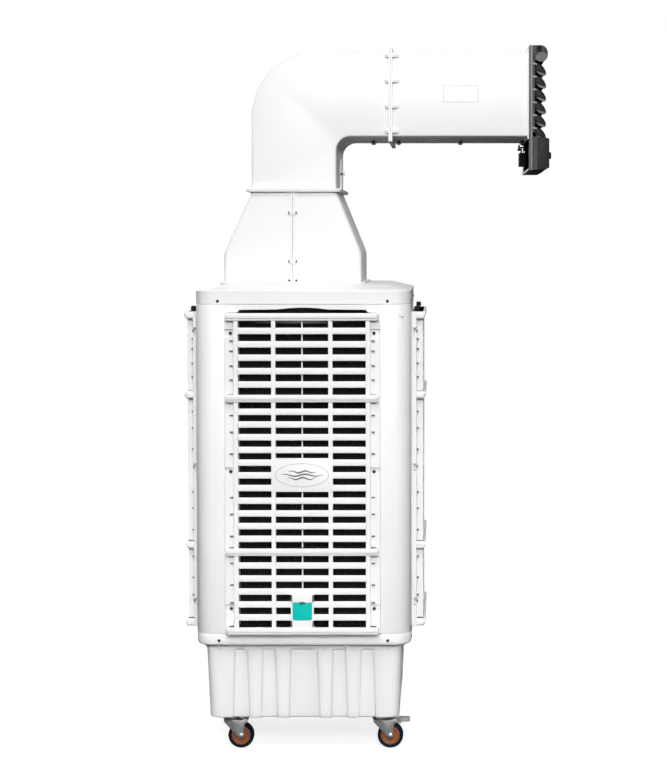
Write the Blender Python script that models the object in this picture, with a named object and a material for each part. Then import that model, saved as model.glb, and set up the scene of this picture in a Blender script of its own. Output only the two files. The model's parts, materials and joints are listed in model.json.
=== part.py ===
"""A ducted evaporative cooler: a square cabinet with three louvred pad panels on a water tank,
four swivel casters, a fan under the top cover, and a hood, elbow and duct that end in an outlet
with turning vanes. Metres, +Z up, front facing -Y."""

import math

import bmesh
import bpy
from mathutils import Matrix, Vector

for old in list(bpy.data.objects):
    bpy.data.objects.remove(old)

# Driving dimensions. The cabinet's centre is at X = Y = 0 and the floor is at Z = 0.
GAP = 0.0003  # between neighbouring pieces
BODY = 0.309  # half the cabinet's width and depth
BODY_CORNER = 0.052
PANEL_BAY = 0.2215  # half the width of the bay between two corner columns
FRONT_REACH = 0.350  # foremost point of the front panel
REAR_REACH = 0.330  # rearmost point of the control buttons

TANK_LOW = 0.102
TANK_HIGH = 0.319
TANK_FOOT = 0.274  # half width at the tank's bottom
TANK_RIM = 0.283  # half width at the tank's top
TANK_CORNER = 0.030
TANK_WALL = 0.014
FLUTE_DEPTH = 0.008
FLUTE_HIGH = 0.304
FLUTES = (  # middle, half width at its top, half width at its foot
    (-0.182, 0.016, 0.022),
    (-0.101, 0.016, 0.022),
    (0.0, 0.036, 0.043),
    (0.101, 0.016, 0.022),
    (0.182, 0.016, 0.022),
)
FLOAT_X, FLOAT_Z = 0.0505, 0.285
FLOAT_STUB = 0.009
FLOAT_PIVOT = (FLOAT_X - 0.012, 0.215, FLOAT_Z)
FLOAT_REACH = 0.11
FLOAT_DROOP = 25  # degrees below level, with the tank part full
DRAIN_X, DRAIN_Z = -0.1505, 0.135
DRAIN_HOLE = 0.0125
DRAIN_SEAT = 0.2765  # where the plug's flange starts, in Y

RING_HIGH = 0.353
RING_WIDTH = 0.045
COLUMN_HIGH = 1.299
COLUMN_WALL = 0.014
HEADER_LOW = 1.276
SKIRT_HIGH = 1.339
COVER_HIGH = 1.356
PLATEAU_X = 0.243
PLATEAU_Y = 0.214
SHEET = 0.004  # wall of the moulded shells

PANEL_LOW = 0.358
PANEL_HIGH = 1.2755
PANEL_FACE = 0.343  # the louvres' front plane
PANEL_FLANGE = 0.324  # front of the flange at each side
PANEL_BACK = 0.296
BAR_HALF = 0.217
FIELD = 0.181  # half width of the louvred field
RIB_AT = 0.081
RIB = 0.012
BAR = 0.0235
BAR_LOWS = (0.358, 0.584, 1.022, 1.252)
SLATS = (5, 11, 5)
SLAT = 0.020
BADGE_Z = 0.815
BADGE_HALF = 0.0475
TABLET_HALF = 0.0325
TABLET_LOW, TABLET_HIGH = 0.378, 0.475
TABLET_FACE = 0.349
FLAP_LOW, FLAP_HIGH = 0.401, 0.451
FLAP_HALF = 0.027
FLAP_FACE, FLAP_BACK = 0.3475, 0.3448
PAD_HALF = 0.205
PAD_LOW, PAD_HIGH = 0.372, 1.242
PAD_BACK = 0.252

REAR_PLATE = 0.296  # inner face of the rear panel
REAR_FACE = 0.306
CONTROL_HALF = (0.11, 0.065)  # in X and Z
CONTROL_Z = 1.05
CONTROL_FACE = 0.326
BUTTON = 0.011
BUTTON_Z = 1.025
BUTTON_XS = (-0.05, 0.0, 0.05)
GLAND = (0.16, 1.02)

AIR_X = -0.0355  # the fan's, hood's and elbow's middle
HOOD_HALF = 0.1995
HOOD_FOOT = 0.014
HOOD_BEND = 1.446
HOOD_HIGH = 1.6265
THROAT_LEFT = -0.154
THROAT_RIGHT = 0.091
DUCT_HALF = 0.200
DUCT_LOW = 1.782
DUCT_HIGH = 2.025
ELBOW_OUTER = 0.187
ELBOW_INNER = 0.042
ELBOW_END = 0.2485
DUCT_END = 0.649
FLANGE = 0.015
SEAM_LIP = 0.006
LIP_REACH = 0.008

OUTLET_FACE = 0.660
KNOB_REACH = 0.715  # foremost point of the outlet
OUTLET_HALF = 0.212
OUTLET_LOW = 1.684
OUTLET_HIGH = 2.044
VANE_TOP = 1.990  # pivot of the highest horizontal vane
VANE_PITCH = 0.037
VANE_X = 0.667
VANE_COUNT = 6
VANE_HALF = 0.2045
CRANK = (0.017, -0.020)  # from a vane's pivot to its link pin, in X and Z
RAIL = 0.206  # inner face of the rails that hold the vanes' pins
RAIL_END = 0.674
PIN = 0.003
PIN_HOLE = 0.0036
LINK_PIN = 0.002
LINK_HOLE = 0.0026
SWING_X = 0.6545
SWING_Y = (-0.1, 0.0, 0.1)
SWING_LOW, SWING_HIGH = 1.794, 2.012
SWING_LINK = 0.612
SWING_SOCKETS = (1.777, 2.030)  # ends of the holes for the swing vanes' pins
VISOR = (0.682, 2.0225)  # middle of the visor's round nose, in X and Z
VISOR_RADIUS = 0.0215
VISOR_FOOT = 2.006  # where the visor's nose runs back into the frame
CASE_X, CASE_TOP = 0.708, 1.752  # the swing motor's cover: its front and top
CHEEK_TOP = 1.782
CHEEK = 0.003
KNOB_Y, KNOB_Z, KNOB = -0.170, 1.728, 0.010
MOTOR_X, MOTOR_LOW, MOTOR_TOP = 0.628, 1.699, 1.742  # the swing motor's back, foot and top
MOTOR_HALF = 0.030

FAN_RADIUS = 0.176
FAN_TIP = 0.166
SHROUD_LOW, SHROUD_HIGH = 1.190, COVER_HIGH - SHEET - GAP
CROSS_HIGH = 1.198
CROSS_HALF = 0.012
FAN_MOTOR, FAN_MOTOR_HIGH = 0.055, 1.262
SHAFT = 0.006
HUB_LOW, HUB_HIGH = 1.266, 1.306
HUB_RADIUS = 0.045
BLADES, BLADE_PITCH = 5, 28

PUMP = (0.20, 0.185)
PUMP_RADIUS = 0.036
PUMP_FOOT, PUMP_HIGH = TANK_LOW + TANK_WALL + GAP, 0.176
ROTOR_LOW, ROTOR_HIGH = 0.1265, 0.1365
PIPE = 0.008
PIPE_HIGH = 1.2605
PIPE_RUN = 0.270

CASTER = 0.218
CASTER_Y = 0.209
TRAIL = 0.029
WHEEL = 0.0375
TREAD = 0.026
FORK_HIGH = TANK_LOW - GAP
CROWN_LOW, CROWN_HIGH = 0.080, 0.083
LEG = 0.0155  # inner face of a fork leg
LEG_SHEET = 0.0025
BRAKE_AT = (0.042, 0.081)  # the pedal's pins from the swivel, in X and Z
ROUND = 16  # sides of a round piece

COLORS = {
    "white_plastic": ((0.86, 0.86, 0.85), 0.45, 0.0),
    "grey_plastic": ((0.32, 0.33, 0.34), 0.5, 0.0),
    "black_plastic": ((0.03, 0.032, 0.035), 0.4, 0.0),
    "teal_plastic": ((0.006, 0.49, 0.37), 0.4, 0.0),
    "pad_paper": ((0.05, 0.035, 0.02), 0.9, 0.0),
    "zinc": ((0.45, 0.46, 0.47), 0.35, 0.9),
    "copper_motor": ((0.09, 0.1, 0.11), 0.45, 0.6),
    "tyre": ((0.004, 0.012, 0.025), 0.6, 0.0),
    "blue_pipe": ((0.05, 0.18, 0.4), 0.45, 0.0),
}


# Shapes. Each function returns a closed mesh, and "at" turns an outline's two coordinates and
# the one along an axis into a point.
def at(axis, u, v, along):
    return {"x": (along, u, v), "y": (u, along, v), "z": (u, v, along)}[axis]


def stacked(rings, hollow=False):
    """Skins a stack of equal rings, capped at both ends or, if hollow, closed on itself."""
    shape = bmesh.new()
    rows = [[shape.verts.new(point) for point in ring] for ring in rings]
    pairs = list(zip(rows, rows[1:]))
    if hollow:
        pairs.append((rows[-1], rows[0]))
    else:
        shape.faces.new(rows[0])
        shape.faces.new(rows[-1])
    for low, high in pairs:
        for i in range(len(low)):
            j = (i + 1) % len(low)
            shape.faces.new((low[i], low[j], high[j], high[i]))
    bmesh.ops.recalc_face_normals(shape, faces=shape.faces)
    mesh = bpy.data.meshes.new("shape")
    shape.to_mesh(mesh)
    shape.free()
    return mesh


def prism(axis, outline, low, high):
    return stacked([[at(axis, u, v, end) for u, v in outline] for end in (low, high)])


def box(low, high):
    outline = [(low[0], low[1]), (high[0], low[1]), (high[0], high[1]), (low[0], high[1])]
    return prism("z", outline, low[2], high[2])


def arc(centre, radius, start, end, steps):
    """Points along an arc, with its start and end in degrees."""
    angles = [math.radians(start + (end - start) * step / steps) for step in range(steps + 1)]
    return [(centre[0] + radius * math.cos(a), centre[1] + radius * math.sin(a)) for a in angles]


def rounded(half_x, half_y, corner, steps=4):
    """A rounded rectangle about the middle."""
    outline = []
    for turn, (side_x, side_y) in enumerate(((1, 1), (-1, 1), (-1, -1), (1, -1))):
        hub = (side_x * (half_x - corner), side_y * (half_y - corner))
        outline += arc(hub, corner, 90 * turn, 90 * turn + 90, steps)
    return outline


def turned(axis, centre, profile, steps=ROUND, hollow=False):
    """Turns (radius, along) points about an axis through centre, a pair across the axis."""
    turns = [2 * math.pi * step / steps for step in range(steps)]
    rings = []
    for radius, along in profile:
        ring = [
            at(axis, centre[0] + radius * math.cos(t), centre[1] + radius * math.sin(t), along)
            for t in turns
        ]
        rings.append(ring)
    return stacked(rings, hollow)


def rod(axis, centre, radius, low, high, steps=12):
    return turned(axis, centre, ((radius, low), (radius, high)), steps)


def lattice(xs, ys, zs, filled):
    """A block of cells between the given planes, keeping those that filled(x, y, z) says,
    where x, y and z are a cell's middle."""
    cells = {
        (i, j, k)
        for i in range(len(xs) - 1)
        for j in range(len(ys) - 1)
        for k in range(len(zs) - 1)
        if filled((xs[i] + xs[i + 1]) / 2, (ys[j] + ys[j + 1]) / 2, (zs[k] + zs[k + 1]) / 2)
    }
    shape = bmesh.new()
    corners = {}

    def corner(i, j, k):
        if (i, j, k) not in corners:
            corners[i, j, k] = shape.verts.new((xs[i], ys[j], zs[k]))
        return corners[i, j, k]

    square = ((0, 0), (1, 0), (1, 1), (0, 1))
    for cell in sorted(cells):
        for axis in range(3):
            for side in (0, 1):
                beside = list(cell)
                beside[axis] += 2 * side - 1
                if tuple(beside) in cells:
                    continue
                face = []
                for u, v in square:
                    offset = [u, v]
                    offset.insert(axis, side)
                    face.append(corner(*(c + o for c, o in zip(cell, offset))))
                shape.faces.new(face)
    bmesh.ops.recalc_face_normals(shape, faces=shape.faces)
    mesh = bpy.data.meshes.new("lattice")
    shape.to_mesh(mesh)
    shape.free()
    return mesh


def combined(operation, base, tools):
    """Joins closed meshes to a base, or cuts them from it."""
    made = []
    for mesh in (base, *tools):
        obj = bpy.data.objects.new("step", mesh)
        bpy.context.collection.objects.link(obj)
        made.append(obj)
    for tool in made[1:]:
        modifier = made[0].modifiers.new("step", "BOOLEAN")
        modifier.operation = operation
        modifier.object = tool
    graph = bpy.context.evaluated_depsgraph_get()
    result = bpy.data.meshes.new_from_object(made[0].evaluated_get(graph))
    for obj in made:
        bpy.data.objects.remove(obj)
    return result


def union(base, *tools):
    return combined("UNION", base, tools)


def cut(base, *tools):
    return combined("DIFFERENCE", base, tools)


def moved(mesh, *steps):
    """A copy of a mesh after the given matrices, in order."""
    copy = mesh.copy()
    for step in steps:
        copy.transform(step)
        if step.determinant() < 0:
            copy.flip_normals()
    return copy


def turn(degrees, axis="Z"):
    return Matrix.Rotation(math.radians(degrees), 4, axis)


def shift(x, y, z):
    return Matrix.Translation((x, y, z))


MIRROR_X = Matrix.Diagonal((-1, 1, 1, 1))
MIRROR_Y = Matrix.Diagonal((1, -1, 1, 1))


def material(name):
    color, roughness, metallic = COLORS[name]
    made = bpy.data.materials.new(name)
    made.use_nodes = True
    shader = made.node_tree.nodes["Principled BSDF"]
    shader.inputs["Base Color"].default_value = (*color, 1)
    shader.inputs["Roughness"].default_value = roughness
    shader.inputs["Metallic"].default_value = metallic
    return made


MATERIALS = {name: material(name) for name in COLORS}
PIVOTS = {}

cooler = bpy.data.objects.new("cooler", None)
cooler.location = ((FRONT_REACH - KNOB_REACH) / 2, (FRONT_REACH - REAR_REACH) / 2, 0)
bpy.context.collection.objects.link(cooler)


def node(name, mesh, finish, pivot=(0, 0, 0), parent=cooler):
    """Adds a named sub-part, with its origin on its joint's axis."""
    mesh.transform(Matrix.Translation(-Vector(pivot)))
    mesh.materials.clear()
    mesh.materials.append(MATERIALS[finish])
    mesh.shade_smooth()
    mesh.set_sharp_from_angle(angle=math.radians(35))
    obj = bpy.data.objects.new(name, mesh)
    bpy.context.collection.objects.link(obj)
    obj.parent = parent
    obj.location = Vector(pivot) - PIVOTS.get(parent.name, Vector())
    PIVOTS[name] = Vector(pivot)
    return obj


# Water tank and base ring
def tank():
    def ring(half, height, inset=0.0):
        corner = TANK_CORNER - inset
        return [at("z", x, y, height) for x, y in rounded(half - inset, half - inset, corner)]

    shell = stacked((ring(TANK_FOOT, TANK_LOW), ring(TANK_RIM, TANK_HIGH - GAP)))
    floor = ring(TANK_FOOT, TANK_LOW + TANK_WALL, TANK_WALL)
    basin = stacked((floor, ring(TANK_RIM, TANK_HIGH + TANK_WALL, TANK_WALL)))
    grooves = [
        moved(flute(*sizes), turn(quarter)) for sizes in FLUTES for quarter in (0, 90, 180, 270)
    ]
    float_hole = rod("y", (FLOAT_X, FLOAT_Z), FLOAT_STUB + 2 * GAP, 0.20, 0.30, 16)
    drain_hole = rod("y", (DRAIN_X, DRAIN_Z), DRAIN_HOLE, 0.20, 0.30, 16)
    return cut(shell, basin, *grooves, float_hole, drain_hole)


def flute(middle, top, foot):
    """The tool that cuts one flute into the front wall: it narrows upwards to a soft crown."""
    draft = FLUTE_DEPTH / 2
    reach = TANK_RIM + TANK_WALL
    crown = 0.012
    levels = ((TANK_LOW - TANK_WALL, foot), (FLUTE_HIGH - crown, top), (FLUTE_HIGH, top - crown / 2))
    rows = []
    for height, half in levels:
        share = (height - TANK_LOW) / (TANK_HIGH - TANK_LOW)
        bottom = FLUTE_DEPTH - (TANK_FOOT + (TANK_RIM - TANK_FOOT) * share)
        corners = ((-half - draft, -reach), (half + draft, -reach), (half, bottom), (-half, bottom))
        rows.append([at("z", middle + x, y, height) for x, y in corners])
    return stacked(rows)


def base_ring():
    """The ring on the tank's rim that carries the columns, with a rolled lower edge."""
    roll = 0.006
    rows = [
        [at("z", x, y, height) for x, y in rounded(BODY - inset, BODY - inset, BODY_CORNER - inset)]
        for height, inset in ((TANK_HIGH, roll), (TANK_HIGH + roll, 0.0), (RING_HIGH, 0.0))
    ]
    inner = rounded(BODY - RING_WIDTH, BODY - RING_WIDTH, BODY_CORNER - roll - TANK_WALL)
    rows += [[at("z", x, y, height) for x, y in inner] for height in (RING_HIGH, TANK_HIGH)]
    return stacked(rows, hollow=True)


node("tank", tank(), "white_plastic")
node("base_ring", base_ring(), "white_plastic")


# Corner columns, header and top cover
def column():
    """The rear right column: a curved angle between two bays."""
    middle = (BODY - BODY_CORNER, BODY - BODY_CORNER)
    outer = arc(middle, BODY_CORNER, 90, 0, 4)
    inside = arc(middle, BODY_CORNER - COLUMN_WALL, 0, 90, 4)
    ends = [(BODY, PANEL_BAY), (BODY - COLUMN_WALL, PANEL_BAY)]
    starts = [(PANEL_BAY, BODY - COLUMN_WALL), (PANEL_BAY, BODY)]
    outline = outer + ends + inside + starts
    return prism("z", outline, RING_HIGH + GAP, COLUMN_HIGH - GAP)


corner_column = column()
for side_name, side in (("left", -1), ("right", 1)):
    for end_name, end in (("front", -1), ("rear", 1)):
        flips = [MIRROR_X] * (side < 0) + [MIRROR_Y] * (end < 0)
        node(f"column_{end_name}_{side_name}", moved(corner_column, *flips), "white_plastic")


def upper_frame():
    """The water tray's ring inside the columns, with a header lip in each bay."""
    inner = BODY - COLUMN_WALL - GAP
    corner = BODY_CORNER - COLUMN_WALL
    rows = []
    for half, radius, heights in (
        (inner, corner, (HEADER_LOW, COLUMN_HIGH - GAP)),
        (inner - 0.05, 0.03, (COLUMN_HIGH - GAP, HEADER_LOW)),
    ):
        rows += [[at("z", x, y, h) for x, y in rounded(half, half, radius)] for h in heights]
    lip = box(
        (GAP - PANEL_BAY, 0.002 - BODY, HEADER_LOW + 0.001),
        (PANEL_BAY - GAP, 0.010 - inner, COLUMN_HIGH - 0.001),
    )
    lips = [moved(lip, turn(quarter)) for quarter in (0, 90, 180, 270)]
    return union(stacked(rows, hollow=True), *lips)


node("upper_frame", upper_frame(), "white_plastic")


def top_cover():
    def skin(inset, drop):
        corner = BODY_CORNER - inset
        levels = (
            (BODY, BODY, COLUMN_HIGH - drop),
            (BODY, BODY, SKIRT_HIGH - inset),
            (BODY - 0.003, BODY - 0.003, SKIRT_HIGH + 0.002 - inset),
            (PLATEAU_X, PLATEAU_Y, COVER_HIGH - inset),
        )
        return stacked(
            [at("z", x, y, h) for x, y in rounded(half_x - inset, half_y - inset, corner, 4)]
            for half_x, half_y, h in levels
        )

    outer, inner = skin(0.0, 0.0), skin(SHEET, 0.01)
    throat = rod("z", (AIR_X, 0), FAN_RADIUS + GAP, COLUMN_HIGH, COVER_HIGH + 0.01, 2 * ROUND)
    return cut(outer, inner, throat)


node("top_cover", top_cover(), "white_plastic")


# Louvred pad panels
def slat_gaps():
    """The open heights between slats, as (low, high) pairs."""
    gaps = []
    for low_bar, high_bar, count in zip(BAR_LOWS, BAR_LOWS[1:], SLATS):
        low, high = low_bar + BAR, high_bar
        gap = (high - low - count * SLAT) / (count + 1)
        for step in range(count + 1):
            start = low + step * (gap + SLAT)
            gaps.append((start, start + gap))
    return gaps


def panel():
    """A front panel: a flanged frame, four proud bars, two ribs and rows of slats."""
    gaps = slat_gaps()
    xs = [-PANEL_BAY + GAP, -BAR_HALF, -FIELD, -RIB_AT - RIB / 2, -RIB_AT + RIB / 2]
    xs += [-x for x in reversed(xs)]
    ys = [-FRONT_REACH, -PANEL_FACE, -PANEL_FLANGE, -PANEL_BACK]
    bars = [(low, low + BAR) for low in BAR_LOWS]
    zs = sorted({PANEL_HIGH, *(z for pair in bars + gaps for z in pair)})

    def filled(x, y, z):
        in_bar = any(low < z < high for low, high in bars)
        open_row = any(low < z < high for low, high in gaps)
        on_rib = RIB_AT - RIB / 2 < abs(x) < RIB_AT + RIB / 2
        if abs(x) > BAR_HALF:
            return y > -PANEL_FLANGE
        if y < -PANEL_FACE:
            return in_bar
        return not open_row or abs(x) > FIELD or on_rib

    return lattice(xs, ys, zs, filled)


def centred(half, front, back, low, high):
    """A box about X = 0 in the front wall, from a front face to a back face."""
    return box((-half, -front, low), (half, -back, high))


def badged_panel(panel_mesh):
    """The front panel, with its badge plate and its tablet box's pocket."""
    badge = centred(RIB_AT + 0.002, PANEL_FACE + 0.001, 0.304, BADGE_Z - BADGE_HALF, BADGE_Z + BADGE_HALF)
    tablet_box = centred(TABLET_HALF, TABLET_FACE, 0.300, TABLET_LOW, TABLET_HIGH)
    recess_back = FLAP_BACK - 0.001
    recess = centred(FLAP_HALF + GAP, FRONT_REACH + 0.001, recess_back, FLAP_LOW - 3 * GAP, FLAP_HIGH + GAP)
    pocket = centred(FLAP_HALF - 0.005, FRONT_REACH, 0.310, FLAP_LOW + 0.006, FLAP_HIGH - 0.004)
    return cut(union(panel_mesh.copy(), badge, tablet_box), recess, pocket)


louvre_panel = panel()
node("panel_front", badged_panel(louvre_panel), "white_plastic")
node("panel_left", moved(louvre_panel, turn(-90)), "white_plastic")
node("panel_right", moved(louvre_panel, turn(90)), "white_plastic")

flap_pivot = (0, -(FLAP_FACE + FLAP_BACK) / 2, FLAP_LOW + (FLAP_FACE - FLAP_BACK) / 2)
flap_plate = centred(FLAP_HALF, FLAP_FACE, FLAP_BACK, FLAP_LOW, FLAP_HIGH)
flap_tab = centred(0.009, FLAP_FACE + 0.002, FLAP_FACE, FLAP_HIGH - 0.012, FLAP_HIGH - 0.004)
node("tablet_flap", union(flap_plate, flap_tab), "teal_plastic", pivot=flap_pivot)

pad = centred(PAD_HALF, PANEL_BACK - 0.001, PAD_BACK, PAD_LOW, PAD_HIGH)
for name, quarter in (("front", 0), ("left", -90), ("right", 90)):
    node(f"pad_{name}", moved(pad, turn(quarter)), "pad_paper")

# Rear panel, control panel, buttons and cable gland
rear_low = (GAP - PANEL_BAY, REAR_PLATE, RING_HIGH + GAP)
rear_plate = box(rear_low, (PANEL_BAY - GAP, REAR_FACE, HEADER_LOW - GAP))
rear_field = box((-0.19, REAR_PLATE + 0.002, 0.40), (0.19, REAR_FACE + 0.0025, 0.96))
node("rear_panel", union(rear_plate, rear_field), "white_plastic")

control_low = (-CONTROL_HALF[0], REAR_FACE + GAP, CONTROL_Z - CONTROL_HALF[1])
control_body = box(control_low, (CONTROL_HALF[0], CONTROL_FACE, CONTROL_Z + CONTROL_HALF[1]))
well_ends = (CONTROL_FACE - 0.012, CONTROL_FACE + 0.01)
button_wells = [rod("y", (x, BUTTON_Z), BUTTON + 0.0005, *well_ends, 16) for x in BUTTON_XS]
node("control_panel", cut(control_body, *button_wells), "grey_plastic")
for name, x in zip(("power", "cooling", "swing"), BUTTON_XS):
    cap = rod("y", (x, BUTTON_Z), BUTTON, CONTROL_FACE - 0.008, REAR_REACH, 16)
    node(f"button_{name}", cap, "black_plastic", pivot=(x, CONTROL_FACE, BUTTON_Z))

gland_profile = ((0.012, GAP), (0.012, 0.006), (0.009, 0.008), (0.0075, 0.018))
gland_profile += ((0.004, 0.018), (0.004, GAP))
gland_profile = [(radius, REAR_FACE + along) for radius, along in gland_profile]
node("cable_gland", turned("y", GLAND, gland_profile, 12, hollow=True), "black_plastic")


# Hood, elbow and duct
def hood_half(side):
    """One half of the hood: side is -1 for the left and 1 for the right."""
    seam = AIR_X + side * GAP
    base = AIR_X + side * HOOD_HALF
    throat = THROAT_LEFT if side < 0 else THROAT_RIGHT
    low, high = COVER_HIGH + GAP, HOOD_HIGH - SHEET - GAP / 2

    def profile(inset, below, above):
        edge = base - side * inset
        neck = throat - side * inset
        start = seam if inset == 0 else seam - side * 0.02
        outside = [(edge, low - below), (edge, HOOD_BEND), (neck, high), (neck, high + above)]
        return [(start, low - below), *outside, (start, high + above)]

    shell = prism("y", profile(0.0, 0.0, GAP), -HOOD_HALF, HOOD_HALF)
    foot = box(
        (min(seam, base + side * HOOD_FOOT), -HOOD_HALF - HOOD_FOOT, low),
        (max(seam, base + side * HOOD_FOOT), HOOD_HALF + HOOD_FOOT, low + SHEET),
    )
    rim = box(
        (min(seam, throat + side * FLANGE), -HOOD_HALF - FLANGE, high - SHEET),
        (max(seam, throat + side * FLANGE), HOOD_HALF + FLANGE, high + SHEET),
    )
    lip = box(
        (min(seam, seam + side * SEAM_LIP), -HOOD_HALF - LIP_REACH, low),
        (max(seam, seam + side * SEAM_LIP), HOOD_HALF + LIP_REACH, high),
    )
    hollow = prism("y", profile(SHEET, 0.01, 0.02), SHEET - HOOD_HALF, HOOD_HALF - SHEET)
    trim = box((-0.5, -0.5, high + SHEET - GAP / 2), (0.5, 0.5, 2.0))
    return cut(union(shell, foot, rim, lip), hollow, trim)


node("hood_left", hood_half(-1), "white_plastic")
node("hood_right", hood_half(1), "white_plastic")


def elbow_outline(inset, low, end):
    """The elbow's side view, moved inwards by inset, from height low to X = end."""
    outer = ELBOW_OUTER - inset
    inner = ELBOW_INNER + inset
    bend = (THROAT_LEFT + ELBOW_OUTER, DUCT_HIGH - ELBOW_OUTER)
    crook = (THROAT_RIGHT + ELBOW_INNER, DUCT_LOW - ELBOW_INNER)
    top = [(THROAT_LEFT + inset, low)] + arc(bend, outer, 180, 90, 9) + [(end, DUCT_HIGH - inset)]
    return top + [(end, DUCT_LOW + inset)] + arc(crook, inner, 90, 180, 5) + [(THROAT_RIGHT - inset, low)]


def shell_half(side, profile, collars):
    """Half of a hollow duct, split at mid depth. profile(inset, past) is its side view, run past
    its ends by past, and side is -1 for the front half."""
    depth = sorted((side * GAP, side * DUCT_HALF))
    lip_depth = sorted((side * GAP, side * SEAM_LIP))
    bore_depth = sorted((side * -0.02, side * (DUCT_HALF - SHEET)))
    body = prism("y", profile(0.0, 0.0), *depth)
    lip = prism("y", profile(-LIP_REACH, 0.0), *lip_depth)
    flanges = []
    for low, high in collars:
        edge = sorted((side * GAP, side * (DUCT_HALF + FLANGE)))
        flanges.append(box((low[0], edge[0], low[1]), (high[0], edge[1], high[1])))
    bore = prism("y", profile(SHEET, 0.03), *bore_depth)
    return cut(union(body, lip, *flanges), bore)


def elbow_profile(inset, past):
    return elbow_outline(inset, HOOD_HIGH + GAP / 2 - past, ELBOW_END - GAP / 2 + past)


def duct_profile(inset, past):
    low_x, high_x = ELBOW_END + GAP / 2 - past, DUCT_END - GAP + past
    low_z, high_z = DUCT_LOW + inset, DUCT_HIGH - inset
    return [(low_x, low_z), (high_x, low_z), (high_x, high_z), (low_x, high_z)]


elbow_low = HOOD_HIGH + GAP / 2
elbow_collars = (
    ((THROAT_LEFT - FLANGE, elbow_low), (THROAT_RIGHT + FLANGE, elbow_low + SHEET)),
    ((ELBOW_END - 0.006, DUCT_LOW - FLANGE), (ELBOW_END - GAP / 2, DUCT_HIGH + FLANGE)),
)
duct_collars = (
    ((ELBOW_END + GAP / 2, DUCT_LOW - FLANGE), (ELBOW_END + 0.0065, DUCT_HIGH + FLANGE)),
    ((DUCT_END - SHEET, DUCT_LOW - LIP_REACH), (DUCT_END - GAP, DUCT_HIGH + LIP_REACH)),
)
for name, side in (("front", -1), ("rear", 1)):
    node(f"elbow_{name}", shell_half(side, elbow_profile, elbow_collars), "white_plastic")
    node(f"duct_{name}", shell_half(side, duct_profile, duct_collars), "white_plastic")


# Outlet: frame, horizontal vanes and their link, swing vanes and their link
VANE_HEIGHTS = [VANE_TOP - VANE_PITCH * step for step in range(VANE_COUNT)]


def side_boxes(inner, outer, low, high):
    """Two boxes with faces at -inner and inner, -outer and outer in Y; low and high in X and Z."""
    spans = [sorted((side * inner, side * outer)) for side in (-1, 1)]
    return [box((low[0], span[0], low[1]), (high[0], span[1], high[1])) for span in spans]


def outlet_frame():
    """A plate about the opening, a round-nosed visor over the vanes and a rail at each side."""
    plate = box((DUCT_END, -OUTLET_HALF, OUTLET_LOW), (OUTLET_FACE, OUTLET_HALF, OUTLET_HIGH))
    back = OUTLET_FACE - SHEET
    nose = arc(VISOR, VISOR_RADIUS, 90, -60, 6)
    visor = prism("y", [(back, OUTLET_HIGH), *nose, (back, VISOR_FOOT)], -OUTLET_HALF, OUTLET_HALF)
    inside = arc(VISOR, VISOR_RADIUS - SHEET, 90, -60, 6)
    below = VISOR_FOOT - VISOR_RADIUS
    behind = back - 0.001
    inside += [(VISOR[0] - 0.005, below), (behind, below), (behind, OUTLET_HIGH - SHEET)]
    scoop = prism("y", inside, SHEET - OUTLET_HALF, OUTLET_HALF - SHEET)
    open_half = DUCT_HALF - SHEET
    opening = box(
        (DUCT_END - 0.01, -open_half, DUCT_LOW + SHEET),
        (OUTLET_FACE + 0.01, open_half, DUCT_HIGH - SHEET),
    )
    rail_low = (OUTLET_FACE - 0.002, VANE_HEIGHTS[-1] - 0.010)
    rails = side_boxes(RAIL, OUTLET_HALF, rail_low, (RAIL_END, VISOR_FOOT + 0.002))
    holes = [rod("y", (VANE_X, z), PIN_HOLE, -0.22, 0.22, 8) for z in VANE_HEIGHTS]
    swing = [rod("z", (SWING_X, y), PIN_HOLE, *SWING_SOCKETS, 8) for y in SWING_Y]
    return cut(union(plate, cut(visor, scoop), *rails), opening, *holes, *swing)


def vane():
    """The highest horizontal vane: a curved blade between two fin-shaped end plates."""
    x, z = VANE_X, VANE_TOP
    crest = [(x - 0.002, z + 0.0065), (x + 0.010, z + 0.004), (x + 0.021, z - 0.009)]
    crest += [(x + 0.029, z - 0.022), (x + 0.031, z - 0.030)]
    inside = [(u - 0.002, v - 0.003) for u, v in reversed(crest)]
    blade = prism("y", crest + inside, -VANE_HALF + 0.001, VANE_HALF - 0.001)
    fin_outline = [(u + 0.0005, v + 0.0005) for u, v in crest]
    fin_outline += [(x + 0.026, z - 0.035), (x + 0.012, z - 0.029), (x + 0.002, z - 0.020)]
    pieces = []
    for side in (-1, 1):
        fin = sorted((side * (VANE_HALF - 0.0025), side * VANE_HALF))
        pieces.append(prism("y", fin_outline, *fin))
        pin = sorted((side * (VANE_HALF - 0.001), side * (OUTLET_HALF - 0.001)))
        pieces.append(rod("y", (x, z), PIN, *pin, 8))
    crank = (x + CRANK[0], z + CRANK[1])
    pieces.append(rod("y", crank, LINK_PIN, VANE_HALF - 0.001, VANE_HALF + 0.004, 8))
    return union(blade, *pieces)


def vane_link():
    """The bar that joins the vanes' crank pins, inside the rear rail."""
    x, half = VANE_X + CRANK[0], 0.0038
    low, high = VANE_HEIGHTS[-1] + CRANK[1] - 0.004, VANE_TOP + CRANK[1] + 0.004
    bar = box((x - half, VANE_HALF + 0.0007, low), (x + half, VANE_HALF + 0.0038, high))
    return cut(bar, *[rod("y", (x, z + CRANK[1]), LINK_HOLE, 0.2, 0.22, 8) for z in VANE_HEIGHTS])


node("outlet_frame", outlet_frame(), "black_plastic")
top_vane = vane()
vanes = []
for step, height in enumerate(VANE_HEIGHTS):
    copy = moved(top_vane, shift(0, 0, height - VANE_TOP))
    vanes.append(node(f"vane_h_{step + 1}", copy, "black_plastic", pivot=(VANE_X, 0, height)))
link_pivot = (VANE_X + CRANK[0], VANE_HALF, VANE_TOP + CRANK[1])
node("vane_h_link", vane_link(), "grey_plastic", pivot=link_pivot, parent=vanes[0])


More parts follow.
